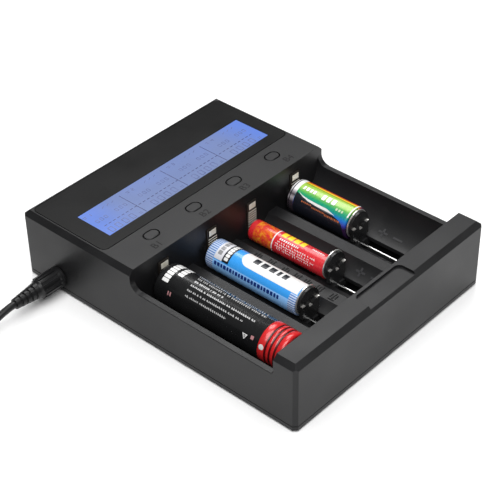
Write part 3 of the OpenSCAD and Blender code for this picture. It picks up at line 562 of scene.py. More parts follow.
def shape_tree(name, inputs):
    """Starts a geometry tree with named inputs: the tree, its inputs and its output socket."""
    tree = bpy.data.node_groups.new(name, "GeometryNodeTree")
    for label, kind in inputs:
        tree.interface.new_socket(label, in_out="INPUT", socket_type="NodeSocket" + kind)
    tree.interface.new_socket("Geometry", in_out="OUTPUT", socket_type="NodeSocketGeometry")
    return tree, tree.nodes.new("NodeGroupInput").outputs, tree.nodes.new("NodeGroupOutput").inputs[0]


def grown(name, tree, values, source=None):
    """Runs a geometry tree and gives its result as a plain mesh."""
    holder = placed(name, source or bpy.data.meshes.new(name))
    modifier = holder.modifiers.new("Shape", "NODES")
    modifier.node_group = tree
    for item in tree.interface.items_tree:
        if item.in_out == "INPUT" and item.name in values:
            modifier[item.identifier] = values[item.name]
    holder.update_tag()
    mesh = plain_mesh(holder)
    mesh.name = name
    return mesh


def spring_tree():
    """An evenly wound coil spring along Y."""
    tree, given, out = shape_tree("Return spring", [
        ("Turns", "Float"), ("Radius", "Float"), ("Length", "Float"), ("Wire", "Float"), ("Place", "Vector"),
        ("Steel", "Material")])
    coil = add(tree, "GeometryNodeCurveSpiral", {
        "Resolution": 14, "Rotations": given["Turns"], "Start Radius": given["Radius"],
        "End Radius": given["Radius"], "Height": given["Length"]})
    section = add(tree, "GeometryNodeCurvePrimitiveCircle", {"Resolution": 8, "Radius": given["Wire"]})
    wire = add(tree, "GeometryNodeCurveToMesh", {
        "Curve": coil.outputs[0], "Profile Curve": section.outputs[0], "Fill Caps": True})
    laid = add(tree, "GeometryNodeTransform", {"Geometry": wire.outputs[0], "Translation": given["Place"],
                                               "Rotation": (-math.pi/2, 0, 0)})
    smooth = add(tree, "GeometryNodeSetShadeSmooth", {"Geometry": laid.outputs[0]})
    real = add(tree, "GeometryNodeRealizeInstances", {"Geometry": smooth.outputs[0]})
    done = add(tree, "GeometryNodeSetMaterial", {"Geometry": real.outputs[0], "Material": given["Steel"]})
    join(tree, out, done.outputs[0])
    return tree


def bars_tree():
    """Short bars on the points of a mesh, each turned and sized by the points' own values."""
    tree, given, out = shape_tree("Bars on points", [("Points", "Geometry"), ("Thickness", "Float"),
                                                     ("Ink", "Material")])
    turn, size = (add(tree, "GeometryNodeInputNamedAttribute", {"Name": name},
                      data_type="FLOAT_VECTOR").outputs[0] for name in ("turn", "size"))
    plan = add(tree, "ShaderNodeSeparateXYZ", {0: size}).outputs
    scale = add(tree, "ShaderNodeCombineXYZ", {0: plan["X"], 1: plan["Y"], 2: given["Thickness"]}).outputs[0]
    bar = add(tree, "GeometryNodeMeshCube", {
        "Size": (1, 1, 1), "Vertices X": 3, "Vertices Y": 2, "Vertices Z": 2})
    copies = add(tree, "GeometryNodeInstanceOnPoints", {"Points": given["Points"], "Instance": bar.outputs[0],
                                                        "Rotation": turn, "Scale": scale})
    real = add(tree, "GeometryNodeRealizeInstances", {"Geometry": copies.outputs[0]})
    flat = add(tree, "GeometryNodeSetShadeSmooth", {"Geometry": real.outputs[0], "Shade Smooth": False})
    done = add(tree, "GeometryNodeSetMaterial", {"Geometry": flat.outputs[0], "Material": given["Ink"]})
    join(tree, out, done.outputs[0])
    return tree


def bars(name, marks, thickness, mark_finish):
    """Bars from a list of (centre, turn, (length, width)), as a plain mesh."""
    tree = bpy.data.node_groups.get("Bars on points") or bars_tree()
    points = bpy.data.meshes.new(name + "_points")
    points.from_pydata([centre for centre, turn, size in marks], [], [])
    for label, values in (("turn", [turn for centre, turn, size in marks]),
                          ("size", [(*size, 0) for centre, turn, size in marks])):
        layer = points.attributes.new(label, "FLOAT_VECTOR", "POINT")
        layer.data.foreach_set("vector", [v for value in values for v in value])
    return grown(name, tree, {"Ink": mark_finish, "Thickness": thickness}, points)


def lathe(name, profile, x, z, rear, segments=96):
    """A turned shape about an axis along Y: profile gives (radius, distance from the rear, finish)."""
    bm = bmesh.new()
    wrap = bm.loops.layers.uv.new("wrap")
    rings = []
    for radius, back, _ in profile:
        if radius < 1e-7:
            rings.append([bm.verts.new((x, rear - back, z))])
            continue
        ring = []
        for k in range(segments):
            turn = 2*math.pi*(k/segments - 0.5)
            ring.append(bm.verts.new((x + radius*math.sin(turn), rear - back, z + radius*math.cos(turn))))
        rings.append(ring)
    full = profile[-1][1]
    for (first, second), (_, start, finish), (_, end, _) in zip(zip(rings, rings[1:]), profile, profile[1:]):
        for k in range(segments):
            n = (k + 1) % segments
            loop = [(first[k % len(first)], k, start), (second[k % len(second)], k, end),
                    (second[n % len(second)], k + 1, end), (first[n % len(first)], k + 1, start)]
            corners = [c for i, c in enumerate(loop) if c[0] not in [d[0] for d in loop[:i]]]
            face = bm.faces.new([c[0] for c in corners])
            face.material_index = finish
            for corner, (_, place, back) in zip(face.loops, corners):
                corner[wrap].uv = (place/segments, back/full)
    bmesh.ops.recalc_face_normals(bm, faces=bm.faces)
    return mesh_of(name, bm)


# Finishes of a cell's turned body, in the order of its materials
BUTTON, RING, SLEEVE, BASE, CAP, GROOVE = range(6)


class CellShape:
    """Place and size of one cell, from its solid."""

    def __init__(self, bay):
        """Reads the box of the bay's cell."""
        low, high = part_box(f"cell_{bay}")
        self.node = f"cell_{bay}"
        self.radius = (high.x - low.x)/2
        self.x, self.z = (low.x + high.x)/2, (low.z + high.z)/2
        self.rear, self.length = high.y, high.y - low.y

    def on_side(self, degrees, back, lift=0.0):
        """A point of the sleeve: degrees from the top to the left, and the distance from the rear."""
        turn = math.radians(degrees)
        reach = self.radius + lift
        return Vector((self.x - reach*math.sin(turn), self.rear - back, self.z + reach*math.cos(turn)))


def field(low, high, start, end, corners=(0, 0, 0, 0), steps=6):
    """Outline of a printed field: degrees low to high, mm start to end, and its corners' radii in mm."""
    # Each corner with the angle at which its arc starts
    places = ((low, start, 180), (high, start, 270), (high, end, 0), (low, end, 90))

    def outline(radius):
        """Points of the field on a sleeve of this radius, in degrees and mm."""
        wide = math.degrees(1/(radius/MM))
        points = []
        for (around, along, first), r in zip(places, corners):
            if not r:
                points.append((around, along))
                continue
            inward = r*wide if around == low else -r*wide
            onward = r if along == start else -r
            for k in range(steps + 1):
                turn = math.radians(first + 90*k/steps)
                points.append((around + inward + r*wide*math.cos(turn), along + onward + r*math.sin(turn)))
        return points

    return outline


def sleeve_print(cell, fields):
    """Thin printed fields that follow a sleeve: fields gives (ink, outline)."""
    inks = list(dict.fromkeys(mark_finish for mark_finish, outline in fields))
    # Height of the lowest print over the sleeve, and the degrees between the bends of a field
    lift, step = 0.00004, 5.0
    bm = bmesh.new()
    for layer, (mark_finish, outline) in enumerate(fields):
        flat = bmesh.new()
        flat.faces.new([flat.verts.new((a, b, 0)) for a, b in outline(cell.radius)])
        low = min(v.co.x for v in flat.verts)
        high = max(v.co.x for v in flat.verts)
        for k in range(1, int((high - low)/step) + 1):
            bmesh.ops.bisect_plane(flat, geom=flat.verts[:] + flat.edges[:] + flat.faces[:],
                                   plane_co=(low + k*step, 0, 0), plane_no=(1, 0, 0))
        bmesh.ops.triangulate(flat, faces=flat.faces)
        made = {}
        for v in flat.verts:
            made[v] = bm.verts.new(cell.on_side(v.co.x, v.co.y*MM, lift*(1 + 0.1*layer)))
        for f in flat.faces:
            face = bm.faces.new([made[v] for v in f.verts])
            face.material_index = inks.index(mark_finish)
            middle = face.calc_center_median()
            face.normal_update()
            if face.normal.dot(middle - Vector((cell.x, middle.y, cell.z))) < 0:
                face.normal_flip()
        flat.free()
    name = f"{cell.node}_print"
    new_piece(name, mesh_of(name, bm), inks)


def blocks(mark_finish, low, high, start, end, seed, wide, gap):
    """A row of plain blocks along a sleeve, from start to end in mm and low to high in degrees."""
    chance = random.Random(seed)
    made = []
    at = start
    while at + wide[0] <= end:
        long = min(chance.uniform(*wide), end - at)
        made.append((mark_finish, field(low, high, at, at + long, (0.3,)*4, 2)))
        at += long + gap
    return made


def blocks_around(mark_finish, start, end, low, high, count):
    """A row of plain blocks round a sleeve."""
    step = (high - low)/count
    return [(mark_finish, field(low + k*step, low + (k + 0.84)*step, start, end, (0.3,)*4, 2)) for k in range(count)]


def triangle(degrees, back, reach):
    """Outline of a printed triangle, its size in millimetres."""
    def outline(radius):
        """Corners on a sleeve of this radius, in degrees and mm."""
        wide = math.degrees(MM/radius)
        turns = [math.radians(90 + 120*k) for k in range(3)]
        return [(degrees + reach*wide*math.sin(t), back + reach*math.cos(t)) for t in turns]
    return outline


def print_rows(cell, rows, ink_height, seed, wide=(0.4, 1.0), gap=0.28):
    """Small marks in rows along a sleeve: rows gives (degrees, start mm, end mm)."""
    chance = random.Random(seed)
    marks = []
    for degrees, start, end in rows:
        at = start
        while at < end:
            long = min(chance.uniform(*wide), end - at)
            high = ink_height*chance.uniform(0.75, 1)
            centre = cell.on_side(degrees, (at + long/2)*MM, 0.00002)
            marks.append((centre, (0, -math.radians(degrees), math.pi/2), (long*MM, high)))
            at += long + gap*(3.0 if chance.random() < 0.2 else 1)
    return marks


# Operators


class CHARGER_OT_stage(bpy.types.Operator):
    """Floor, soft lights and the camera"""

    bl_idname = "charger.stage"
    bl_label = "Stage"

    def soft_light(self, name, place, target, size, energy):
        """A rectangular soft light that faces a target."""
        lamp = bpy.data.lights.new(name, "AREA")
        lamp.shape = "RECTANGLE"
        lamp.size, lamp.size_y = size
        lamp.energy = energy
        light = placed(name, lamp)
        light.location = place
        light.rotation_euler = (Vector(target) - Vector(place)).to_track_quat("-Z", "Y").to_euler()

    def floor(self, shade):
        """A wide, pale, level floor."""
        bm = bmesh.new()
        bmesh.ops.create_grid(bm, x_segments=8, y_segments=8, size=3.0)
        floor = placed("floor", mesh_of("floor", bm))
        floor.data.materials.append(floor_paper(shade))

    def camera(self, look):
        """The camera at the photograph's place, turned by its heading, tilt and roll."""
        lens = bpy.data.cameras.new("camera")
        lens.sensor_width = 36
        lens.lens = look.lens
        lens.clip_start, lens.clip_end = 0.01, 20
        camera = placed("camera", lens)
        heading, tilt, roll = look.camera_heading, look.camera_tilt, look.camera_roll
        level = math.cos(tilt)
        back = Vector((math.sin(heading)*level, -math.cos(heading)*level, math.sin(tilt)))
        right = Vector((math.cos(heading), math.sin(heading), 0))
        up = back.cross(right)
        across = math.cos(roll)*right + math.sin(roll)*up
        upward = math.cos(roll)*up - math.sin(roll)*right
        turn = Matrix((across, upward, back)).transposed().to_4x4()
        camera.matrix_world = Matrix.Translation(look.camera_place) @ turn
        return camera

    def execute(self, context):
        """Makes the stage."""
        look = context.scene.charger_stage
        self.floor(tuple(look.floor_colour))
        world = bpy.data.worlds.new("Room")
        world.use_nodes = True
        sky = world.node_tree.nodes["Background"].inputs
        sky["Color"].default_value = (1, 1, 1, 1)
        sky["Strength"].default_value = look.room_light
        context.scene.world = world
        self.soft_light("key_softbox", (-0.50, -0.45, 1.30), (0, 0, 0), (1.4, 1.4), look.key_light)
        self.soft_light("back_softbox", (0.40, 0.36, 0.84), (0, -0.03, 0.02), (0.6, 0.6), look.back_light)
        self.soft_light("front_softbox", (0.75, -1.05, 0.28), (0, -0.05, 0.01), (0.9, 0.35), look.front_light)
        context.scene.camera = self.camera(look)
        context.scene.view_settings.view_transform = "Standard"
        return {"FINISHED"}


class CHARGER_OT_lead(bpy.types.Operator):
    """Power lead: plug, cord wound into a coil, tie and far plug"""

    bl_idname = "charger.lead"
    bl_label = "Lead"

    # Degrees along the winding, with the row (0 outside) and the layer that the cord has reached there
    STATIONS = ((0, 0, 0), (300, 0, 0), (360, 1, 0), (660, 1, 0), (720, 2, 0), (960, 2, 0), (1020, 2, 1),
                (1260, 2, 1), (1320, 1, 1), (1620, 1, 1), (1680, 0, 1), (1920, 0, 1), (1980, 0, 2),
                (2220, 0, 2), (2280, 1, 2), (2580, 1, 2), (2640, 2, 2), (2700, 2, 2))

    def wound_place(self, wound):
        """Row and layer of the cord after so many degrees of winding."""
        for (first, row, layer), (last, next_row, next_layer) in zip(self.STATIONS, self.STATIONS[1:]):
            if first <= wound <= last:
                t = smooth_step((wound - first)/(last - first))
                return row + (next_row - row)*t, layer + (next_layer - layer)*t
        raise RuntimeError("No winding there")

    def route(self, look, start, centre, base):
        """Points of the cord: out of the plug, down to the table and round the coil."""
        points = []
        floor_z = base + look.diameter/2
        run_steps, wind_step = 20, 7.5
        for k in range(run_steps + 1):
            t = k/run_steps
            points.append(Vector((start.x - t*look.run, start.y,
                                  floor_z + (start.z - floor_z)*(1 + math.cos(math.pi*t))/2)))
        wound = wind_step
        while wound <= self.STATIONS[-1][0]:
            row, layer = self.wound_place(wound)
            reach = look.coil_radius + (1 - row)*look.row_pitch
            turn = math.radians(-90 - wound)
            points.append(centre + Vector((reach*math.cos(turn), reach*math.sin(turn),
                                           floor_z - base + layer*look.layer_pitch)))
            wound += wind_step
        return points

    def last_turn(self, look, centre, last, entry):
        """Points of the part turn that climbs from the winding over its top and into the far plug."""
        points = []
        first_reach = look.coil_radius - look.row_pitch
        last_reach = centre.x - entry.x
        steps, tail = 36, 0.0006
        for k in range(1, steps + 1):
            t = k/steps
            lean = smooth_step((t - 0.45)/0.55)
            reach = first_reach + (last_reach - first_reach)*lean
            turn = math.radians(90 - 270*t)
            middle_y = centre.y + (entry.y - centre.y)*smooth_step(t)
            points.append(Vector((centre.x + reach*math.cos(turn), middle_y + reach*math.sin(turn),
                                  last.z + (entry.z - last.z)*smooth_step((t - 0.2)/0.75))))
        return points + [entry + Vector((0, tail, 0))]

    def tie_strap(self, centre, top, look):
        """A flexible strap round the turns, thinner along its edges."""
        inner, outer = look.coil_radius - 0.0061, look.coil_radius + 0.0055
        bottom, top = 0.0004, top - 0.0003
        # Radius of its bends, halves of its thickness and width, and its place round the coil in degrees
        corner, half, wide, place = 0.0022, 0.00028, 0.0034, 60
        outline = []
        for cx, cy, start in ((outer - corner, top - corner, 0), (inner + corner, top - corner, 90),
                              (inner + corner, bottom + corner, 180), (outer - corner, bottom + corner, 270)):
            for k in range(7):
                turn = math.radians(start + 15*k)
                outline.append((cx + corner*math.cos(turn), cy + corner*math.sin(turn),
                                math.cos(turn), math.sin(turn)))
        bm = bmesh.new()
        across = (-wide, -wide*0.92, -wide*0.5, 0, wide*0.5, wide*0.92, wide)
        thick = (0.35, 0.9, 1, 1, 1, 0.9, 0.35)
        spin = Matrix.Translation(centre) @ Matrix.Rotation(math.radians(place), 4, "Z")
        rings = []
        for x, z, nx, nz in outline:
            ring = [bm.verts.new(spin @ Vector((x + s*half*h*nx, y, z + s*half*h*nz)))
                    for s, order in ((1, 1), (-1, -1)) for y, h in list(zip(across, thick))[::order]]
            rings.append(ring)
        for first, second in zip(rings, rings[1:] + rings[:1]):
            for k in range(len(first)):
                n = (k + 1) % len(first)
                bm.faces.new((first[k], first[n], second[n], second[k]))
        bmesh.ops.recalc_face_normals(bm, faces=bm.faces)
        return mesh_of("lead_tie", bm)

    def round_cord(self, points, diameter):
        """A round cord through its points."""
        curve = bpy.data.curves.new("lead_cord", "CURVE")
        curve.dimensions = "3D"
        curve.bevel_depth = diameter/2
        curve.bevel_resolution = 5
        curve.use_fill_caps = True
        line = curve.splines.new("POLY")
        line.points.add(len(points) - 1)
        for point, place in zip(line.points, points):
            point.co = (*place, 1)
        return curve

    def execute(self, context):
        """Finishes both plugs and lays the cord between them."""
        look = context.scene.charger_lead
        rubber = moulded("Lead sheath", (0.008, 0.008, 0.0085), 0.0003, 0.26, 0.36, 0.2, 0.00012)
        metal = plated("Plug metal", (0.78, 0.78, 0.77), 0.16, (900.0, 900.0, 900.0))
        set_finish(rubber, "dc_plug", "usb_plug_body")
        set_finish(metal, "dc_plug_barrel", "dc_socket_pin", "usb_plug_shell")
        coil_low, coil_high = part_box("cord_coil")
        centre = middle_of("cord_coil")
        centre.z = coil_low.z
        start = middle_of("dc_plug")
        start.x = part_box("dc_plug")[0].x
        entry = middle_of("usb_plug_body")
        entry.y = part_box("usb_plug_body")[0].y
        points = self.route(look, start, centre, coil_low.z)
        points += self.last_turn(look, centre, points[-1], entry)
        cord = new_piece("lead_cord", self.round_cord(points, look.diameter), [rubber])
        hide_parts("cord", "cord_coil")
        strap = moulded("Tie strap", (0.014, 0.014, 0.0155), 0.0006, 0.5, 0.62, 0.5, 0)
        band = self.tie_strap(Vector((centre.x, centre.y, 0)), coil_high.z, look)
        tie = new_piece("lead_tie", band, [strap])
        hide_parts("cord_tie")
        return {"FINISHED"}


class CHARGER_OT_housing(bpy.types.Operator):
    """Housing, base, panel and keys, with their legends and raised marks"""

    bl_idname = "charger.housing"
    bl_label = "Housing"

    def legend(self, words, size, place, depth):
        """Letters as a thin plain mesh that lies on the top face."""
        text = bpy.data.curves.new("legend", "FONT")
        text.body, text.size, text.extrude = words, size, depth
        text.align_x, text.align_y = "CENTER", "CENTER"
        mesh = plain_mesh(placed("legend", text))
        mesh.transform(Matrix.Translation(place))
        return mesh

    def execute(self, context):
        """Finishes the moulded parts and puts their marks on them."""
        look = context.scene.charger_body
        shade, grain = tuple(look.housing_colour), look.grain
        # The housing's and base's edges carry the default painted highlight
        set_finish(moulded("Housing plastic", shade, grain), "upper_housing", "base_plate")
        # Painted shade: the keys' edges are darkened to stand in for the shadow of the gap round each key
        keys = moulded("Key plastic", shade, grain*0.8, 0.34, 0.44, edge=0.0004, painted_edge_tone=0.15)
        set_finish(keys, *numbered("button"))
        panel = moulded("Panel plastic", tuple(look.panel_colour), grain*0.7, 0.28, 0.36, 0.12, specular=0.11)
        set_finish(panel, "display_panel")
        set_finish(moulded("Foot rubber", (0.008, 0.008, 0.008), 0.0005, 0.6, 0.75, 0.5), "rubber_feet")
        # Painted shade: the legends and the ridge marks are made darker than the housing to stand in for the
        # shade in moulded recesses
        mark_finish = moulded("Legend recess shade", toned(shade, 0.3), grain*0.6, 0.5, 0.6, 0.2, 0, 0.2)
        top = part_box("upper_housing")[1].z
        depth = 0.00003
        for bay in BAYS:
            key, contact = middle_of(f"button_{bay}"), middle_of(f"positive_contact_{bay}")
            place = Vector((contact.x + look.legend_offset[0], key.y + look.legend_offset[1], top))
            letters = self.legend(f"B{bay}", look.legend_size, place, depth)
            new_piece(f"key_legend_{bay}", letters, [mark_finish])
        # Painted highlight: the raised pole signs are made lighter than the housing to stand in for light on
        # their relief
        sign = moulded("Raised sign", toned(shade, 3.2), grain, 0.4, 0.5, edge=0)
        for name, marks, finish in (("ridge_marks", self.ridge_marks(), mark_finish),
                                    ("pole_signs", self.trough_marks(), sign)):
            new_piece(name, bars(name, marks, look.mark_height*2, finish))
        return {"FINISHED"}

    def laid_bar(self, x, y, turn, size):
        """A bar that lies on the housing, under a point above it."""
        hit, place, normal, _ = NODES["upper_housing"].ray_cast(Vector((x, y, 0.1)), Vector((0, 0, -1)))
        if not hit:
            raise RuntimeError("No housing under a mark")
        lean = normal.to_track_quat("Z", "Y").to_matrix()
        across = lean.transposed() @ Vector((math.cos(turn), math.sin(turn), 0))
        twist = Matrix.Rotation(math.atan2(across.y, across.x), 3, "Z")
        return place, tuple((lean @ twist).to_euler()), size

    def ridge_marks(self):
        """Small raised marks along the ridge between the middle bays."""
        line, pitch, x = 0.0006, 0.0014, 0.0004
        marks = []
        for k, y in enumerate((-0.050, -0.0415, -0.0345, -0.0285, -0.0215, -0.0130, -0.0050)):
            for n in range(3):
                wide = 0.0040 if (k + n) % 2 else 0.0026
                marks.append(self.laid_bar(x, y + n*pitch, 0, (wide, line)))
            marks.append(self.laid_bar(x - 0.0026, y + pitch, math.pi/2, (0.0034, line)))
        return marks

    def trough_marks(self):
        """Raised signs for the poles on the troughs' right sides."""
        line, across, along, apart = 0.0010, 0.0044, 0.0050, 0.0085
        marks = []
        for x, y in ((0.0535, -0.035), (0.0225, -0.0460)):
            marks.append(self.laid_bar(x, y, 0, (across, line)))
            marks.append(self.laid_bar(x, y, math.pi/2, (along, line)))
            marks.append(self.laid_bar(x, y - apart, math.pi/2, (along, line)))
        return marks


class CHARGER_OT_display(bpy.types.Operator):
    """Lit display with its figures"""

    bl_idname = "charger.display"
    bl_label = "Display"

    # Segments of a digit in halves of its height: centre across, centre up, upright or not
    SEGMENTS = {"a": (0, 1, 0), "b": (1, 0.5, 1), "c": (1, -0.5, 1), "d": (0, -1, 0), "e": (-1, -0.5, 1),
                "f": (-1, 0.5, 1), "g": (0, 0, 0)}
    DIGITS = {"0": "abcdef", "1": "bc", "2": "abged", "3": "abgcd", "4": "fgbc"}

    def digit(self, symbol, x, y, z, height, line):
        """Bars of one digit of seven segments."""
        half, wide = height/2 - line/2, height*0.27
        marks = []
        for segment in self.DIGITS[symbol]:
            across, up, upright = self.SEGMENTS[segment]
            long = (half if upright else 2*wide) - line*0.35
            marks.append(((x + across*wide, y + up*half, z), (0, 0, math.pi/2*upright), (long, line)))
        return marks

    def lines(self, left, right, front, rear, dividers, z):
        """Dashed line across the display and the lines between its four columns."""
        rule, dash, pitch, thick = front + 0.0070, 0.0016, 0.0027, 0.00040
        marks = []
        for k in range(int((right - left - 0.005)/pitch)):
            marks.append(((left + 0.0028 + (k + 0.5)*pitch, rule, z), (0, 0, 0), (dash, thick)))
        for x in dividers:
            size = (rear - front - 0.0030, thick*0.8)
            marks.append(((x, (front + rear)/2 - 0.0010, z), (0, 0, math.pi/2), size))
        return marks

    def column(self, number, x, front, rear, z, look):
        """Figures of one column: four large digits, small digits, its number and its unit marks."""
        big, small = look.digit_height, look.small_height
        thin, bold = 0.0003, 0.0004
        low_row, small_row, top_row = front + 0.0029, front + 0.0118, rear - 0.0034
        marks = []
        for n in range(4):
            marks += self.digit("0", x + 0.0074 + n*0.0043, low_row, z, big, 0.00042)
        for n in range(2):
            marks.append(((x + 0.0246, low_row - 0.0015 + n*0.0009, z), (0, 0, 0), (0.0016, thin)))
        for n in range(3):
            for group in (0.0190, 0.0070):
                marks += self.digit("0", x + group + n*0.0026, small_row, z, small*1.1, thin)
            marks.append(((x + 0.0160 + n*0.0030, top_row, z), (0, 0, 0.5), (0.0018, thin)))
        marks += self.digit(str(number), x + 0.0078, top_row, z, small, bold)
        for n, long in enumerate((0.0020, 0.0013)):
            marks.append(((x + 0.0048, top_row + 0.0005 - n*0.0010, z), (0, 0, 0), (long, bold)))
        return marks

    def execute(self, context):
        """Lights the display and lays its figures and lines on it."""
        look = context.scene.charger_display
        set_finish(lit_glass(), "lcd_glass")
        set_finish(diffuser(), "lcd_backlight")
        low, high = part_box("lcd_glass")
        margin, lift = 0.0026, 0.00001
        left, right = low.x + margin, high.x - margin
        front, rear = low.y + margin, high.y - margin
        z = high.z + lift
        dividers = [left + share*(right - left) for share in (0.2225, 0.475, 0.728)]
        marks = []
        for number, x in enumerate([left - 0.0033] + dividers, 1):
            marks += self.column(number, x, front, rear, z, look)
        figure_tone = figure_ink("Display figures", tuple(look.figure_colour))
        new_piece("display_figures", bars("display_figures", marks, 0.00004, figure_tone))
        rules = self.lines(left, right, front, rear, dividers, z)
        line_tone = figure_ink("Display lines", tuple(look.line_colour))
        new_piece("display_lines", bars("display_lines", rules, 0.00005, line_tone))
        return {"FINISHED"}


class CHARGER_OT_sliders(bpy.types.Operator):
    """Sliders, their contact plates, rods and return springs, and the contacts behind the cells"""

    bl_idname = "charger.sliders"
    bl_label = "Sliders and contacts"

    def spring(self, bay, tree, turns, steel):
        """One return spring, wound along the box of its solid, which is hidden."""
        wire = 0.00025
        low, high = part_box(f"slider_spring_{bay}")
        middle = middle_of(f"slider_spring_{bay}")
        mesh = grown(f"return_spring_{bay}", tree, {
            "Turns": turns, "Radius": (high.x - low.x)/2 - wire, "Length": high.y - low.y - 2*wire,
            "Wire": wire, "Steel": steel, "Place": (middle.x, low.y + wire, middle.z)})
        spring = placed(f"return_spring_{bay}", mesh)
        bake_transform(spring)
        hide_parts(f"slider_spring_{bay}")

    def execute(self, context):
        """Finishes the sliders and contacts and winds the springs."""
        look = context.scene.charger_body
        set_finish(moulded("Slider plastic", tuple(look.slider_colour), look.grain*0.7, 0.2, 0.32, 0.15),
                   *numbered("slider"))
        nickel = plated("Nickel plate", (0.92, 0.90, 0.86), 0.3, (2500.0, 2500.0, 200.0), metallic=0.8)
        set_finish(nickel, *numbered("slider_contact"))
        set_finish(contact_strip(), *numbered("positive_contact"))
        rods = plated("Polished rod", (0.94, 0.94, 0.93), 0.12, (5000.0, 90.0, 5000.0), 0.05)
        set_finish(rods, *numbered("guide_rod"))
        steel = plated("Spring steel", (0.52, 0.52, 0.53), 0.28, (3000.0, 3000.0, 3000.0))
        tree = spring_tree()
        lengths = [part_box(node)[1].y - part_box(node)[0].y for node in numbered("slider_spring")]
        # Share of the turns that grows with the spring's length
        growing = 0.45
        for bay, long in zip(BAYS, lengths):
            turns = look.spring_turns*(1 - growing + growing*long/min(lengths))
            self.spring(bay, tree, turns, steel)
        return {"FINISHED"}


class CHARGER_OT_cells(bpy.types.Operator):
    """Four cells with their printed sleeves"""

    bl_idname = "charger.cells"
    bl_label = "Cells"

    # Length of the first cell's front cap, and its grooves' distances from the cap's rear edge
    CAP_LENGTH = 0.0124
    GROOVES = (0.0040, 0.0064, 0.0089)

    def rear_end(self, r):
        """Profile from the middle of the rear button to the sleeve."""
        button = min(0.36*r, 0.003)
        return [(0, 0, BUTTON), (button*0.72, 0.00002, BUTTON), (button - 0.0002, 0.00008, BUTTON),
                (button, 0.00032, BUTTON), (button, 0.00125, BUTTON), (button + 0.0003, 0.0015, BUTTON),
                (r - 0.0019, 0.00152, RING), (r - 0.0017, 0.00128, SLEEVE), (r - 0.0010, 0.00112, SLEEVE),
                (r - 0.0004, 0.0013, SLEEVE), (r - 0.0001, 0.0017, SLEEVE), (r, 0.0024, SLEEVE)]

    def plain_end(self, r, full):
        """Profile of a sleeve that folds over the front end."""
        return [(r, full - 0.0011, SLEEVE), (r - 0.0001, full - 0.0006, SLEEVE),
                (r - 0.0005, full - 0.0002, SLEEVE), (r - 0.0014, full - 0.00002, SLEEVE),
                (r - 0.0017, full - 0.0002, BASE)]

    def grooved_end(self, r, full):
        """Profile of a front cap with grooves round it."""
        edge = full - self.CAP_LENGTH
        deep, mouth, bottom = 0.0003, 0.0005, 0.0003
        profile = [(r - 0.00005, edge - 0.0001, SLEEVE), (r, edge, CAP)]
        for groove in self.GROOVES:
            at = edge + groove
            profile += [(r, at - mouth, GROOVE), (r - deep, at - bottom, GROOVE),
                        (r - deep, at + bottom, GROOVE), (r, at + mouth, CAP)]
        return profile + [(r, full - 0.0012, CAP), (r - 0.0002, full - 0.0005, CAP),
                          (r - 0.0007, full - 0.0001, CAP), (r - 0.0016, full - 0.00002, CAP),
                          (r - 0.0018, full - 0.0002, BASE)]

    def body(self, cell, sleeve, front_end, cap=()):
        """Turned body from the rear button to the base."""
        r, full = cell.radius, cell.length
        profile = self.rear_end(r) + front_end(r, full)
        profile += [(r*0.5, full - 0.0002, BASE), (r*0.46, full - 0.00008, BASE), (0, full - 0.00002, BASE)]
        name = f"{cell.node}_body"
        finishes = [self.steel, self.washer, sleeve, self.steel, *cap]
        piece = new_piece(name, lathe(name, profile, cell.x, cell.z, cell.rear), finishes)
        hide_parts(cell.node)

    def rows(self, cell, marks, mark_finish):
        """Fine print of one ink on a sleeve."""
        name = f"{cell.node}_rows"
        new_piece(name, bars(name, marks, 0.00006, mark_finish))

    def execute(self, context):
        """Makes the shared finishes, then each cell."""
        look = context.scene.charger_cells
        tones = {name: tuple(getattr(look, name)) for name in look.__annotations__}
        self.steel = plated("Cell steel", (0.72, 0.71, 0.69), 0.22, (1200.0, 1200.0, 1200.0))
        self.washer = print_ink("Insulating ring", (0.5, 0.5, 0.48))
        self.white = print_ink("White print", tones["white"])
        self.grey = print_ink("Fine print", tones["grey"])
        self.yellow = print_ink("Yellow print", tones["yellow"])
        self.dark = print_ink("Dark print", (0.008, 0.010, 0.016))
        self.first(tones)
        self.second(tones)
        self.third(tones)
        self.fourth()
        return {"FINISHED"}

    def first(self, tones):
        """Black sleeve with fine print and a grooved red cap."""
        cell = CellShape(1)

        def black_film(tree, around, along, place):
            """Black with a faint mottle."""
            black = tones["black"]
            return mixed(tree, noise(tree, place, 90.0, 3.0), black, toned(black, 1.6))

        def red_cap(tree, around, along, place):
            """Red with a faint mottle."""
            red = tones["cap_red"]
            return mixed(tree, noise(tree, place, 160.0, 3.0), red, toned(red, 1.15))

        # Painted shade: the cap's grooves are coloured dark red to stand in for the shade inside them
        groove = print_ink("Cap groove shade", (0.06, 0.003, 0.004))
        self.body(cell, sleeve_film("Black sleeve", black_film), self.grooved_end,
                  [sleeve_film("Red cap", red_cap), groove])
        white, pink = self.white, print_ink("Pink print", (0.50, 0.24, 0.25))
        black = print_ink("Sleeve black", tones["black"])
        fields = blocks_around(white, 4.2, 7.8, -50, 46, 8) + blocks_around(white, 9.4, 12.4, -50, 13, 5)
        fields.append((white, field(61, 76, 62.6, 65.2, (1.2,)*4)))
        fields += [(pink, field(62, 74, 9.6, 10.3)), (pink, field(62, 74, 10.9, 11.6))]
        fields += [(white, triangle(63, 54.4, 1.7)), (black, triangle(63, 54.4, 0.85))]
        fields.append((pink, field(53, 63, 57.6, 59.2)))
        sleeve_print(cell, fields)
        rows = [(-27, 17.0, 57.0), (-13, 18.0, 57.5), (2, 18.5, 35.0), (17, 18.5, 55.5), (33, 18.5, 50.5),
                (49, 19.0, 42.5)]
        self.rows(cell, print_rows(cell, rows, 0.0012, 11), self.grey)

    def second(self, tones):
        """Blue sleeve with fluted ends, a pale field and bold plain blocks."""
        cell = CellShape(2)

        def blue_film(tree, around, along, place):
            """Blue, with a paler lower side that is partly print and partly painted light from the floor, and
            fluted ends whose stripes are painted light and shade of folds on paler film.
            """
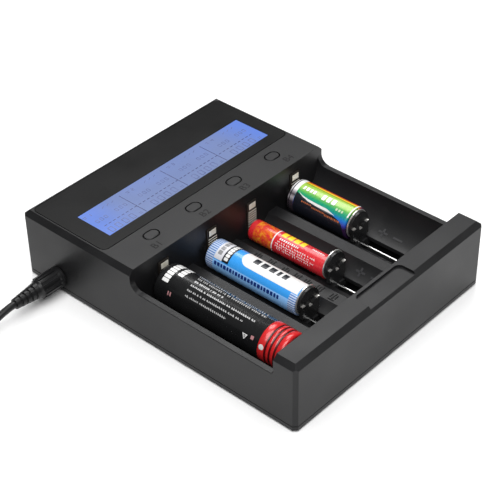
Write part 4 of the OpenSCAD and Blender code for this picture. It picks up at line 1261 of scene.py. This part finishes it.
            # The paler lower side is partly the sleeve's print and partly painted light from the bright floor
            # below
            lower = span(tree, around, 0.326, 0.320)
            base = mixed(tree, lower, tones["blue"], tones["pale_blue"])
            # Painted light and shade: the stripes stand in for the lit and shaded folds of the fluted ends
            fold_light_and_shade = span(tree, calc(tree, "SINE", calc(tree, "MULTIPLY", around, 2*math.pi*42)), -0.45, 0.05)
            rear = span(tree, along, 0.112, 0.106)
            front = calc(tree, "MULTIPLY", span(tree, along, 0.922, 0.93), span(tree, around, 0.40, 0.385))
            ends = calc(tree, "MAXIMUM", rear, front)
            pale = mixed(tree, fold_light_and_shade, (0.06, 0.17, 0.48), (0.52, 0.62, 0.78))
            return mixed(tree, ends, base, pale)

        self.body(cell, sleeve_film("Blue sleeve", blue_film), self.plain_end)
        white, dark = self.white, self.dark
        deep = print_ink("Deep blue print", (0.008, 0.035, 0.20))
        cream = print_ink("Cream print", (0.66, 0.66, 0.70))
        grey = print_ink("Grey print", (0.26, 0.26, 0.27))
        fields = [(white, field(-80, 36, 19.0, 53.6, (6.0, 5.0, 0, 0))), (cream, field(-80, 60, 6.1, 10.8)),
                  (dark, field(-60, 60, 10.8, 14.6, (0, 0.3, 0.3, 0)))]
        fields += blocks_around(grey, 7.2, 9.4, -34, 44, 4) + blocks_around(white, 11.6, 13.8, -44, 54, 7)
        fields += blocks(dark, -20, 8, 25.0, 47.0, 23, (1.6, 3.4), 1.3)
        fields += blocks(deep, 68, 83, 7.0, 46.0, 24, (0.9, 1.6), 0.55)
        sleeve_print(cell, fields)

    def third(self, tones):
        """Red sleeve with a warm mottled band, yellow blocks and fine print."""
        cell = CellShape(3)

        def red_film(tree, around, along, place):
            """Red, with a warm mottled band near the rear."""
            flame = noise(tree, place, 560.0, 4.0, 0.65)
            warm = ramp(tree, flame, ((0.38, tones["red"]), (0.52, (0.62, 0.085, 0.010)),
                                      (0.68, (0.74, 0.30, 0.02))))
            rear = calc(tree, "MULTIPLY", span(tree, along, 0.09, 0.10), span(tree, along, 0.33, 0.325))
            return mixed(tree, rear, tones["red"], warm)

        self.body(cell, sleeve_film("Red sleeve", red_film), self.plain_end)
        fields = [(self.white, field(-178, 178, 15.7, 16.3))]
        fields += blocks(self.yellow, -30, 11, 18.5, 34.0, 33, (2.2, 3.2), 0.8)
        fields += blocks(self.white, 22, 34, 19.0, 30.0, 34, (0.5, 0.9), 0.4)
        sleeve_print(cell, fields)
        rows = [(44, 18.5, 41.0), (56, 18.0, 38.0), (68, 18.0, 41.0), (80, 19.0, 39.0), (-6, 36.0, 43.0)]
        self.rows(cell, print_rows(cell, rows, 0.0008, 31), self.white)

    def fourth(self):
        """Sleeve with a rainbow of colours round it, a white foil band at the rear with painted reflections,
        and a dark lower side.
        """
        cell = CellShape(4)

        def rainbow_film(tree, around, along, place):
            """Colours round the sleeve, with a foil band whose grey and dark bands are painted reflections,
            and a dark ring at the rear.
            """
            shade = ramp(tree, around, (
                (0.262, (0.03, 0.01, 0.05)), (0.300, (0.02, 0.05, 0.40)), (0.335, (0.015, 0.17, 0.58)),
                (0.372, (0.006, 0.26, 0.20)), (0.400, (0.010, 0.30, 0.13)), (0.428, (0.10, 0.40, 0.07)),
                (0.455, (0.28, 0.50, 0.06)), (0.5255, (0.30, 0.50, 0.05)), (0.529, (0.03, 0.08, 0.008)),
                (0.534, (0.10, 0.12, 0.01)), (0.538, (0.80, 0.66, 0.03)), (0.552, (0.80, 0.50, 0.02)),
                (0.566, (0.72, 0.17, 0.01)), (0.582, (0.50, 0.025, 0.012)), (0.61, (0.08, 0.01, 0.05))))
            # Painted reflection: the foil is white above, with grey and dark bands round its side standing in
            # for what it mirrors
            foil = ramp(tree, around, (
                (0.29, (0.04, 0.03, 0.04)), (0.33, (0.40, 0.37, 0.40)), (0.36, (0.05, 0.04, 0.05)),
                (0.385, (0.30, 0.28, 0.30)), (0.415, (0.88, 0.88, 0.90))))
            rear = mixed(tree, span(tree, along, 0.142, 0.136), shade, foil)
            ring = calc(tree, "MULTIPLY", span(tree, along, 0.060, 0.063), span(tree, along, 0.078, 0.075))
            return mixed(tree, ring, rear, (0.012, 0.012, 0.014))

        self.body(cell, sleeve_film("Rainbow sleeve", rainbow_film), self.plain_end)

        def dark_side(radius):
            """Outline of the dark lower side, in degrees and mm."""
            return [(37, 5.2), (47, 10.5), (52, 16), (53, 24), (57, 28.5), (63, 32), (72, 34.2), (100, 35.6),
                    (178, 35.6), (178, 5.2)]

        def sweep(radius):
            """Outline of the white sweep along the dark side, in degrees and mm."""
            return [(35, 6.2), (41, 9), (44.5, 13), (45.5, 18.5), (45.5, 24), (55, 29.5), (54, 24.5),
                    (54, 18.5), (51, 13), (44, 9)]

        white = self.white
        copper = print_ink("Copper print", (0.46, 0.13, 0.05))
        pale_green = print_ink("Pale green print", (0.50, 0.62, 0.42))
        # The white arc over the top of the front edge is a painted highlight on the crimped edge
        fields = [(self.dark, dark_side), (white, sweep), (white, field(-34, 42, 35.6, 36.4))]
        for low, high, start, end, seed in ((57, 62, 9.5, 16.0, 46), (61, 67, 16.0, 24.0, 47),
                                            (64, 71, 24.0, 33.0, 48)):
            fields += blocks(copper, low, high, start, end, seed, (0.4, 1.0), 0.3)
        fields += blocks(white, 6, 21, 7.0, 15.5, 43, (1.1, 1.8), 0.7)
        fields += blocks(white, 4, 26, 18.5, 27.0, 44, (1.8, 2.3), 0.9)
        fields += blocks(pale_green, 29, 38, 28.4, 33.6, 45, (0.9, 1.3), 0.6)
        sleeve_print(cell, fields)


class CHARGER_OT_inside(bpy.types.Operator):
    """Boards, components and screws"""

    bl_idname = "charger.inside"
    bl_label = "Inside parts"

    def execute(self, context):
        """Finishes what the housing holds."""
        set_finish(circuit_board(), "display_board", "power_board")
        black = moulded("Component black", (0.011, 0.011, 0.012), 0.00025, 0.34, 0.5, 0.25, 0.0001)
        set_finish(black, "board_link", "controller_chip", "transistors", "tact_switches", "dc_socket")
        set_finish(moulded("Ferrite", (0.035, 0.035, 0.037), 0.00018, 0.5, 0.7, 0.6, 0.0002), "inductors")
        set_finish(capacitor_can(), "capacitors")
        screws = plated("Screw steel", (0.42, 0.42, 0.43), 0.3, (1500.0, 1500.0, 1500.0))
        set_finish(screws, "case_screws", "board_screws")
        return {"FINISHED"}


class CHARGER_PT_pieces(bpy.types.Panel):
    """Lists the charger's pieces and settings"""

    bl_idname = "CHARGER_PT_pieces"
    bl_label = "Charger"
    bl_space_type = "VIEW_3D"
    bl_region_type = "UI"
    bl_category = "Charger"

    def draw(self, context):
        """A button for each group of pieces, then the settings."""
        for operator in OPERATORS:
            self.layout.operator(operator.bl_idname)
        for name in SETTINGS:
            group = getattr(context.scene, name)
            box = self.layout.box()
            for setting in group.__annotations__:
                box.prop(group, setting)


SETTINGS = {"charger_stage": StageSettings, "charger_body": BodySettings, "charger_display": DisplaySettings,
            "charger_cells": CellSettings, "charger_lead": LeadSettings}
OPERATORS = (CHARGER_OT_stage, CHARGER_OT_lead, CHARGER_OT_housing, CHARGER_OT_display, CHARGER_OT_sliders,
             CHARGER_OT_cells, CHARGER_OT_inside)


def register():
    """Makes the settings, operators and panel known."""
    for name, group in SETTINGS.items():
        bpy.utils.register_class(group)
        setattr(bpy.types.Scene, name, PointerProperty(type=group))
    for operator in OPERATORS:
        bpy.utils.register_class(operator)
    bpy.utils.register_class(CHARGER_PT_pieces)


def unregister():
    """Takes the panel, operators and settings away again."""
    bpy.utils.unregister_class(CHARGER_PT_pieces)
    for operator in reversed(OPERATORS):
        bpy.utils.unregister_class(operator)
    for name, group in SETTINGS.items():
        delattr(bpy.types.Scene, name)
        bpy.utils.unregister_class(group)


def main():
    """Builds the scene."""
    register()
    bpy.ops.charger.stage()
    bpy.ops.charger.lead()
    bpy.ops.charger.housing()
    bpy.ops.charger.display()
    bpy.ops.charger.sliders()
    bpy.ops.charger.cells()
    bpy.ops.charger.inside()


if __name__ == "__main__":
    main()
